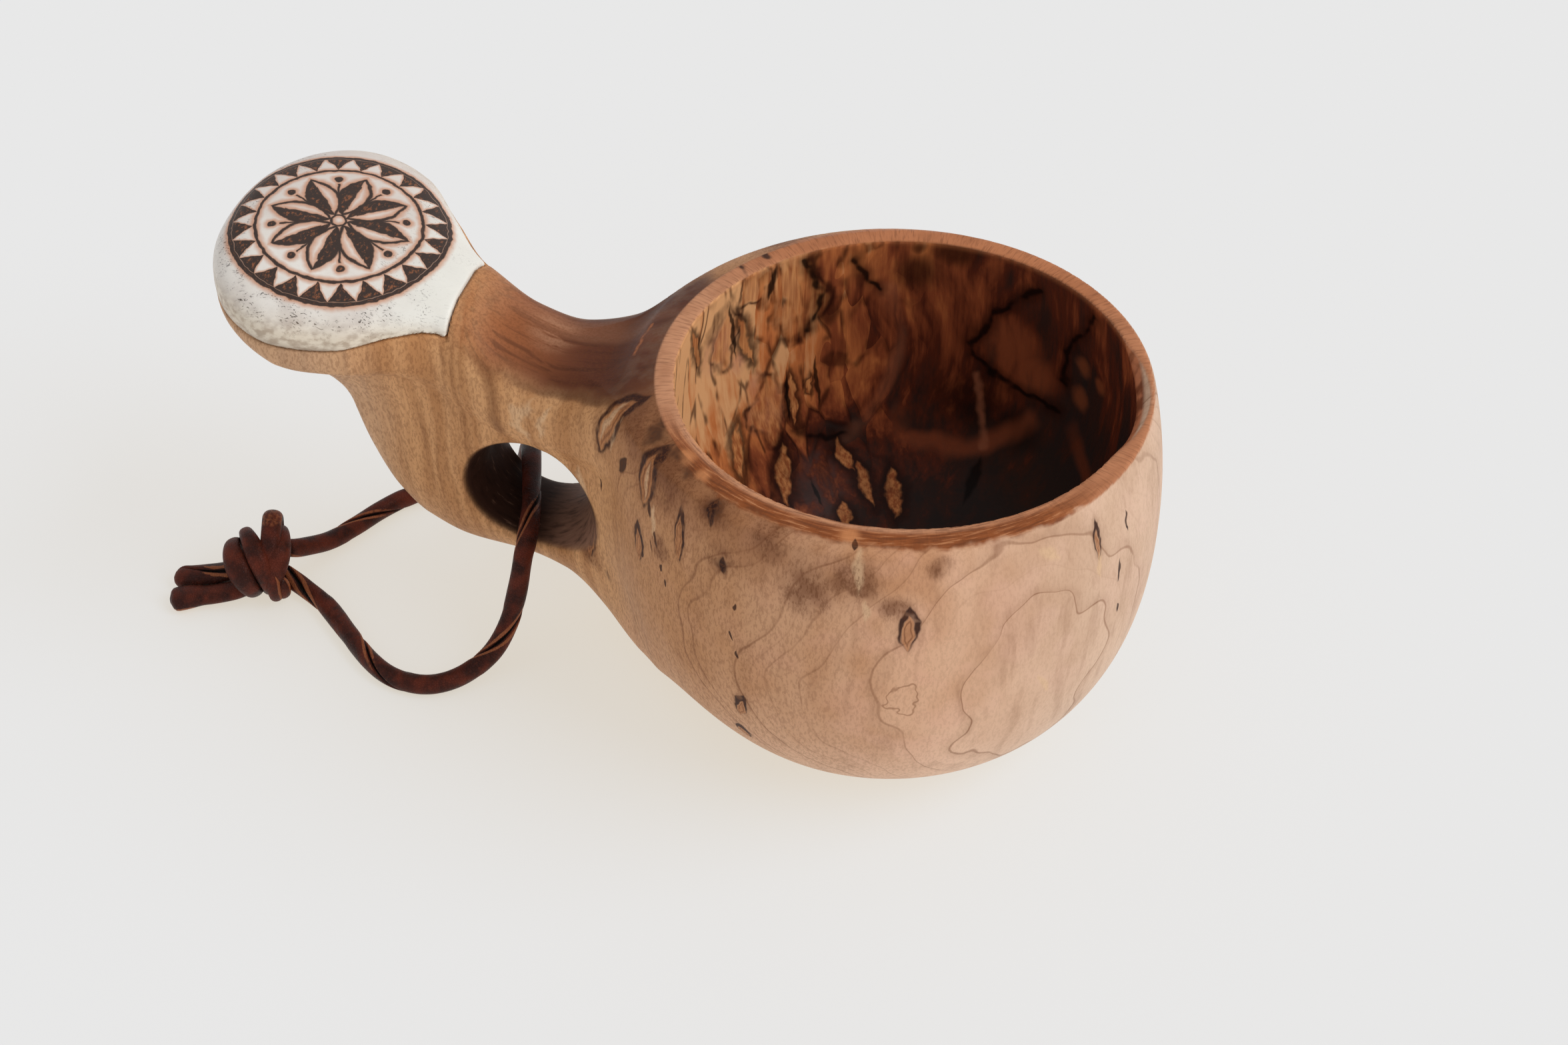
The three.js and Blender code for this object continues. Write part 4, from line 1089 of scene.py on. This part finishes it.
def rolled(path, width, height, sides, turn, opening, shrink=1.0):
    """Rings of a strip rolled edge to edge; turn says where its seam faces, opening how far it gapes."""
    u = np.linspace(-1, 1, sides, endpoint=False) + 1 / sides
    around = np.sign(u) * np.abs(u) ** 1.6 * math.pi
    angle = np.asarray(turn)[:, None] + around
    arc = np.abs(around) * (width + height) / 4
    gape = np.asarray(opening)[:, None]
    run = run_along(path)[:, None]
    grow = 0.96 + 0.05 * np.sin(run / 2.7 + 2.2 * np.sin(run / 11)) * np.cos(2 * angle) - 0.05 * (around > 0)
    grow = np.minimum(grow - 0.3 * np.exp(-(arc / (0.18 + 0.34 * gape)) ** 2), 1.0) * shrink
    facts = {
        # Painted shade in the open seam.
        "gap": np.clip(1.35 - arc / (0.14 + 0.42 * gape), 0, 1) + 0 * run,
        "raw": ramp(0.5, 0.3, np.abs(arc - 0.45 - 0.75 * gape) / (0.6 + 0.6 * gape))
               * np.clip(gape * 1.6, 0, 1),
    }
    return np.cos(angle) * grow * width / 2, np.sin(angle) * grow * height / 2, facts


def flat(count, width, thick, sides, edges=(0.0, 0.0), shrink=1.0):
    """Rings of a strip with rounded edges; edges says how raw the two of them are."""
    a = np.linspace(0, 2 * math.pi, sides, endpoint=False)
    across = np.sign(np.cos(a)) * np.abs(np.cos(a)) ** 0.9
    raw = edges[0] * ramp(0.4, 0.7, across) + edges[1] * ramp(-0.4, -0.7, across)
    one = np.ones((count, 1))
    # Painted shade along the very edges of the strip, where strips meet.
    return across * width / 2 * one * shrink, np.sin(a) * thick / 2 * one * np.minimum(shrink, 1), {
        "gap": ramp(0.93, 1.0, np.abs(across)) * one, "raw": raw + 0 * one}


def ends_round(path, first, last):
    """How far a strip's rings shrink towards its two ends, over those lengths."""
    run = run_along(path)
    a, b = np.clip(run / first, 0.02, 1), np.clip((run[-1] - run) / last, 0.02, 1)
    return np.sqrt(1 - (1 - a) ** 2)[:, None] * np.sqrt(1 - (1 - b) ** 2)[:, None]


def thong_piece(name, node, material, path, up, rings, closed=False):
    """A piece of leather swept along a path, which stands for part of a node of the cord."""
    across, rise, facts = rings
    points, faces = sweep(path, up, across, rise, closed)
    ends = [] if closed else [0, -1]
    facts = {key: np.concatenate([v.reshape(-1), v[ends].mean(1)]) for key, v in facts.items()}
    piece = mesh_piece(name, points, faces, facts=facts)
    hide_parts(node)
    return put(piece, material)


# The knot's own frame has X towards the tails, Y towards its front and Z up.
# Wraps: shift, lean, skew, radii across and up, height of the middle, width and thickness.
# Strips: their points, width and thickness, how raw their two edges are, and the lengths of their round ends.
WRAPS = {
    "knot_wrap_left": (2.9, 1.6, -0.08, 5.2, 4.9, 0.0, 5.0, 3.4),
    "knot_wrap_middle": (0.1, 0.95, -1.05, 5.6, 6.1, 1.1, 4.2, 3.2),
    "knot_wrap_right": (-3.1, -1.9, 0.9, 5.4, 5.4, 1.0, 4.8, 3.2),
}
STRIPS = {
    "knot_bight": ([(-1.5, 4.6, 3.0), (-2.1, 3.7, 5.0), (-2.9, 1.9, 7.1), (-3.6, -0.6, 8.7), (-4.0, -2.6, 9.0),
                    (-4.2, -4.2, 7.6), (-4.0, -4.8, 4.2)], 3.9, 3.0, (0.0, 0.0), (4.0, 1.0)),
    "knot_fold": ([(-1.3, 4.6, 3.8), (-2.0, 6.0, 1.4), (-2.0, 6.4, -1.2), (-2.2, 5.6, -3.6), (-2.4, 3.6, -5.0)],
                  2.6, 2.4, (0.2, 1.0), (2.0, 1.5)),
    "knot_fold_low": ([(-3.4, 5.2, 0.6), (-3.8, 5.6, -1.4), (-3.8, 5.2, -3.4), (-3.6, 3.4, -4.9),
                       (-3.4, 1.2, -5.2)], 2.8, 2.4, (0.0, 0.8), (2.0, 1.5)),
}
CORE_ENDS = (-5.4, 4.8)
CORE_SIZE = (9.6, 8.8)
WRAP_BROADEST = math.radians(42)


def build_knot(settings, material):
    turn = np.array([[math.cos(KNOT_HEADING), -math.sin(KNOT_HEADING), 0],
                     [math.sin(KNOT_HEADING), math.cos(KNOT_HEADING), 0], [0, 0, 1]])

    def placed(points):
        return np.asarray(points) @ turn.T + KNOT_PLACE

    pieces = []
    a = np.linspace(0, 2 * math.pi, 16, endpoint=False)
    for name, (shift, lean, skew, wide, high, lift, width, thick) in WRAPS.items():
        side, rise = np.cos(a), np.sin(a)
        ring = np.stack([shift + lean * rise + skew * side, wide * side, lift + high * rise], 1)
        path, _ = smooth_path(placed(ring), 0.5, closed=True)
        out = path - placed([[shift, 0, lift]])
        faced = np.cos(np.linspace(0, 2 * math.pi, len(path), endpoint=False) - WRAP_BROADEST) ** 2
        rings = flat(len(path), width, thick, settings.sides, shrink=0.62 + 0.38 * faced[:, None])
        pieces.append(thong_piece(name, "cord_knot", material, path, out, rings, closed=True))
    for name, (points, width, thick, edges, ends) in STRIPS.items():
        path, _ = smooth_path(placed(points), 0.4)
        rings = flat(len(path), width, thick, settings.sides, edges, ends_round(path, *ends))
        if name == "knot_bight":
            rings[2]["raw"] += ramp(7.4, 8.9, path[:, 2:] - KNOT_PLACE[2]) * 0.45
        out = path - placed([[-3.4, -2.6, 4.0] if name == "knot_bight" else [-2, 0, 0]])
        pieces.append(thong_piece(name, "cord_knot", material, path, out, rings))
    path, _ = smooth_path(placed([(x, 0, 0) for x in np.linspace(*CORE_ENDS, 8)]), 0.4)
    rings = flat(len(path), *CORE_SIZE, settings.sides, shrink=ends_round(path, 4, 4))
    pieces.append(thong_piece("knot_core", "cord_knot", material, path, UP, rings))
    return pieces


def build_thong(settings):
    material = leather(settings)
    path, length = smooth_path(THONG_ROUTE)
    run = run_along(path)
    open_ends = np.exp(-(run / 13) ** 2) + 0.6 * np.exp(-((run - length) / 10) ** 2)
    opening = 0.42 + 0.55 * open_ends + 0.25 * np.sin(run / 9.0)
    turn = math.radians(119) - 2 * math.pi * run / settings.lay_length
    loop = thong_piece("thong_loop", "cord_loop", material, path, UP,
                       rolled(path, THONG, THONG, settings.sides, turn, opening))
    pieces = build_knot(settings, material)

    # The upper tail stays rolled; the lower one lies flat and splays, with its cut end to the front.
    tail, _ = smooth_path(TAIL_ROUTES["tail_upper"], 0.5)
    gone = run_along(tail)
    widen = ends_round(tail, 0.5, 2.4) * (0.86 + 0.14 * ramp(1, 7, gone))[:, None]
    rings = rolled(tail, *UPPER_TAIL_SIZE, settings.sides, math.radians(138) - gone * 0.1,
                   np.clip(1.25 - gone / 7, 0, 1), widen)
    pieces.append(thong_piece("tail_upper", "cord_tail_upper", material, tail, UP, rings))
    tail, _ = smooth_path(TAIL_ROUTES["tail_lower"], 0.5)
    end = ramp(9, 14, run_along(tail))[:, None]
    widen = (0.86 + 0.24 * end) * ends_round(tail, 0.5, 1.6)
    across, rise, facts = flat(len(tail), *LOWER_TAIL_SIZE, settings.sides, shrink=widen)
    facts["gap"] *= 0
    facts["raw"] += end * ramp(0.3, -0.9, rise) * ramp(0.6, -1.2, across)
    pieces.append(thong_piece("tail_lower", "cord_tail_lower", material, tail, UP, (across, rise, facts)))


# ---------------------------------------------------------------- stage
CAMERA_PLACE = (0.0753, -0.3505, 0.3508)
CAMERA_TURN = (math.radians(48.54), 0, math.radians(15.5))
FLOOR_REACH = 6
LAMP_WIDTH = math.radians(50)
FLOOR_COLOUR = (0.205, 0.276, 0.389, 1)
FLOOR_GLOW = (0.635, 0.575, 0.48, 1)


def build_stage(settings):
    scene = bpy.context.scene
    camera = bpy.data.objects.new("camera", bpy.data.cameras.new("camera"))
    scene.collection.objects.link(camera)
    camera.location = CAMERA_PLACE
    camera.rotation_euler = CAMERA_TURN
    camera.data.lens = settings.lens
    camera.data.sensor_width = 36
    camera.data.clip_start = 0.01
    scene.camera = camera
    scene.view_settings.view_transform = "Standard"
    scene.view_settings.look = "None"

    mesh = bpy.data.meshes.new("floor")
    corners = [(x * FLOOR_REACH, y * FLOOR_REACH, 0) for x, y in ((-1, -1), (1, -1), (1, 1), (-1, 1))]
    mesh.from_pydata(corners, [], [(0, 1, 2, 3)])
    floor = bpy.data.objects.new("floor", mesh)
    scene.collection.objects.link(floor)
    s = Shader("pale_floor", 1.0, Specular_IOR_Level=0.0, Base_Color=FLOOR_COLOUR,
               Emission_Color=FLOOR_GLOW, Emission_Strength=settings.glow)
    floor.data.materials.append(s.material)

    world = bpy.data.worlds.new("studio")
    scene.world = world
    world.use_nodes = True
    sky = world.node_tree.nodes["Background"].inputs
    sky[0].default_value = (1, 1, 1, 1)
    sky[1].default_value = settings.ambient
    lamp = bpy.data.objects.new("window", bpy.data.lights.new("window", "SUN"))
    lamp.data.angle = LAMP_WIDTH
    lamp.data.energy = settings.key
    lamp.rotation_euler = Vector((math.cos(settings.key_side) * math.cos(settings.key_rise),
                                  math.sin(settings.key_side) * math.cos(settings.key_rise),
                                  math.sin(settings.key_rise))).to_track_quat("Z", "Y").to_euler()
    scene.collection.objects.link(lamp)


# ---------------------------------------------------------------- add-on
class CUP_OT_stage(bpy.types.Operator):
    """Add the floor, the lights and the camera"""
    bl_idname = "burl_cup.stage"
    bl_label = "Add Stage"

    def execute(self, context):
        build_stage(context.scene.cup_stage)
        return {"FINISHED"}


class CUP_OT_thong(bpy.types.Operator):
    """Add the leather thong with its knot and tails"""
    bl_idname = "burl_cup.thong"
    bl_label = "Add Thong"

    def execute(self, context):
        build_thong(context.scene.cup_thong)
        return {"FINISHED"}


class CUP_OT_wood(bpy.types.Operator):
    """Add the cup carved from burl"""
    bl_idname = "burl_cup.wood"
    bl_label = "Add Cup"

    def execute(self, context):
        build_cup(context.scene.cup_wood)
        return {"FINISHED"}


class CUP_OT_antler(bpy.types.Operator):
    """Add the antler plate in the handle"""
    bl_idname = "burl_cup.antler"
    bl_label = "Add Antler"

    def execute(self, context):
        build_antler(context.scene.cup_antler)
        return {"FINISHED"}


OPERATORS = [CUP_OT_stage, CUP_OT_thong, CUP_OT_wood, CUP_OT_antler]
GROUPS = {
    "cup_wood": CupSettings, "cup_antler": AntlerSettings,
    "cup_thong": ThongSettings, "cup_stage": StageSettings,
}


class CUP_PT_panel(bpy.types.Panel):
    """Buttons and settings of the cup"""
    bl_label = "Burl Cup"
    bl_space_type = "VIEW_3D"
    bl_region_type = "UI"
    bl_category = "Burl Cup"

    def draw(self, context):
        for kind in OPERATORS:
            self.layout.operator(kind.bl_idname)
        for key, group in GROUPS.items():
            settings = getattr(context.scene, key)
            for name in group.__annotations__:
                self.layout.prop(settings, name)


def register():
    for kind in (*GROUPS.values(), *OPERATORS, CUP_PT_panel):
        bpy.utils.register_class(kind)
    for key, group in GROUPS.items():
        setattr(bpy.types.Scene, key, PointerProperty(type=group))


def unregister():
    for key in GROUPS:
        delattr(bpy.types.Scene, key)
    for kind in (CUP_PT_panel, *OPERATORS, *GROUPS.values()):
        bpy.utils.unregister_class(kind)


def main():
    register()
    bpy.ops.burl_cup.stage()
    bpy.ops.burl_cup.thong()
    bpy.ops.burl_cup.wood()
    bpy.ops.burl_cup.antler()


if __name__ == "__main__":
    main()
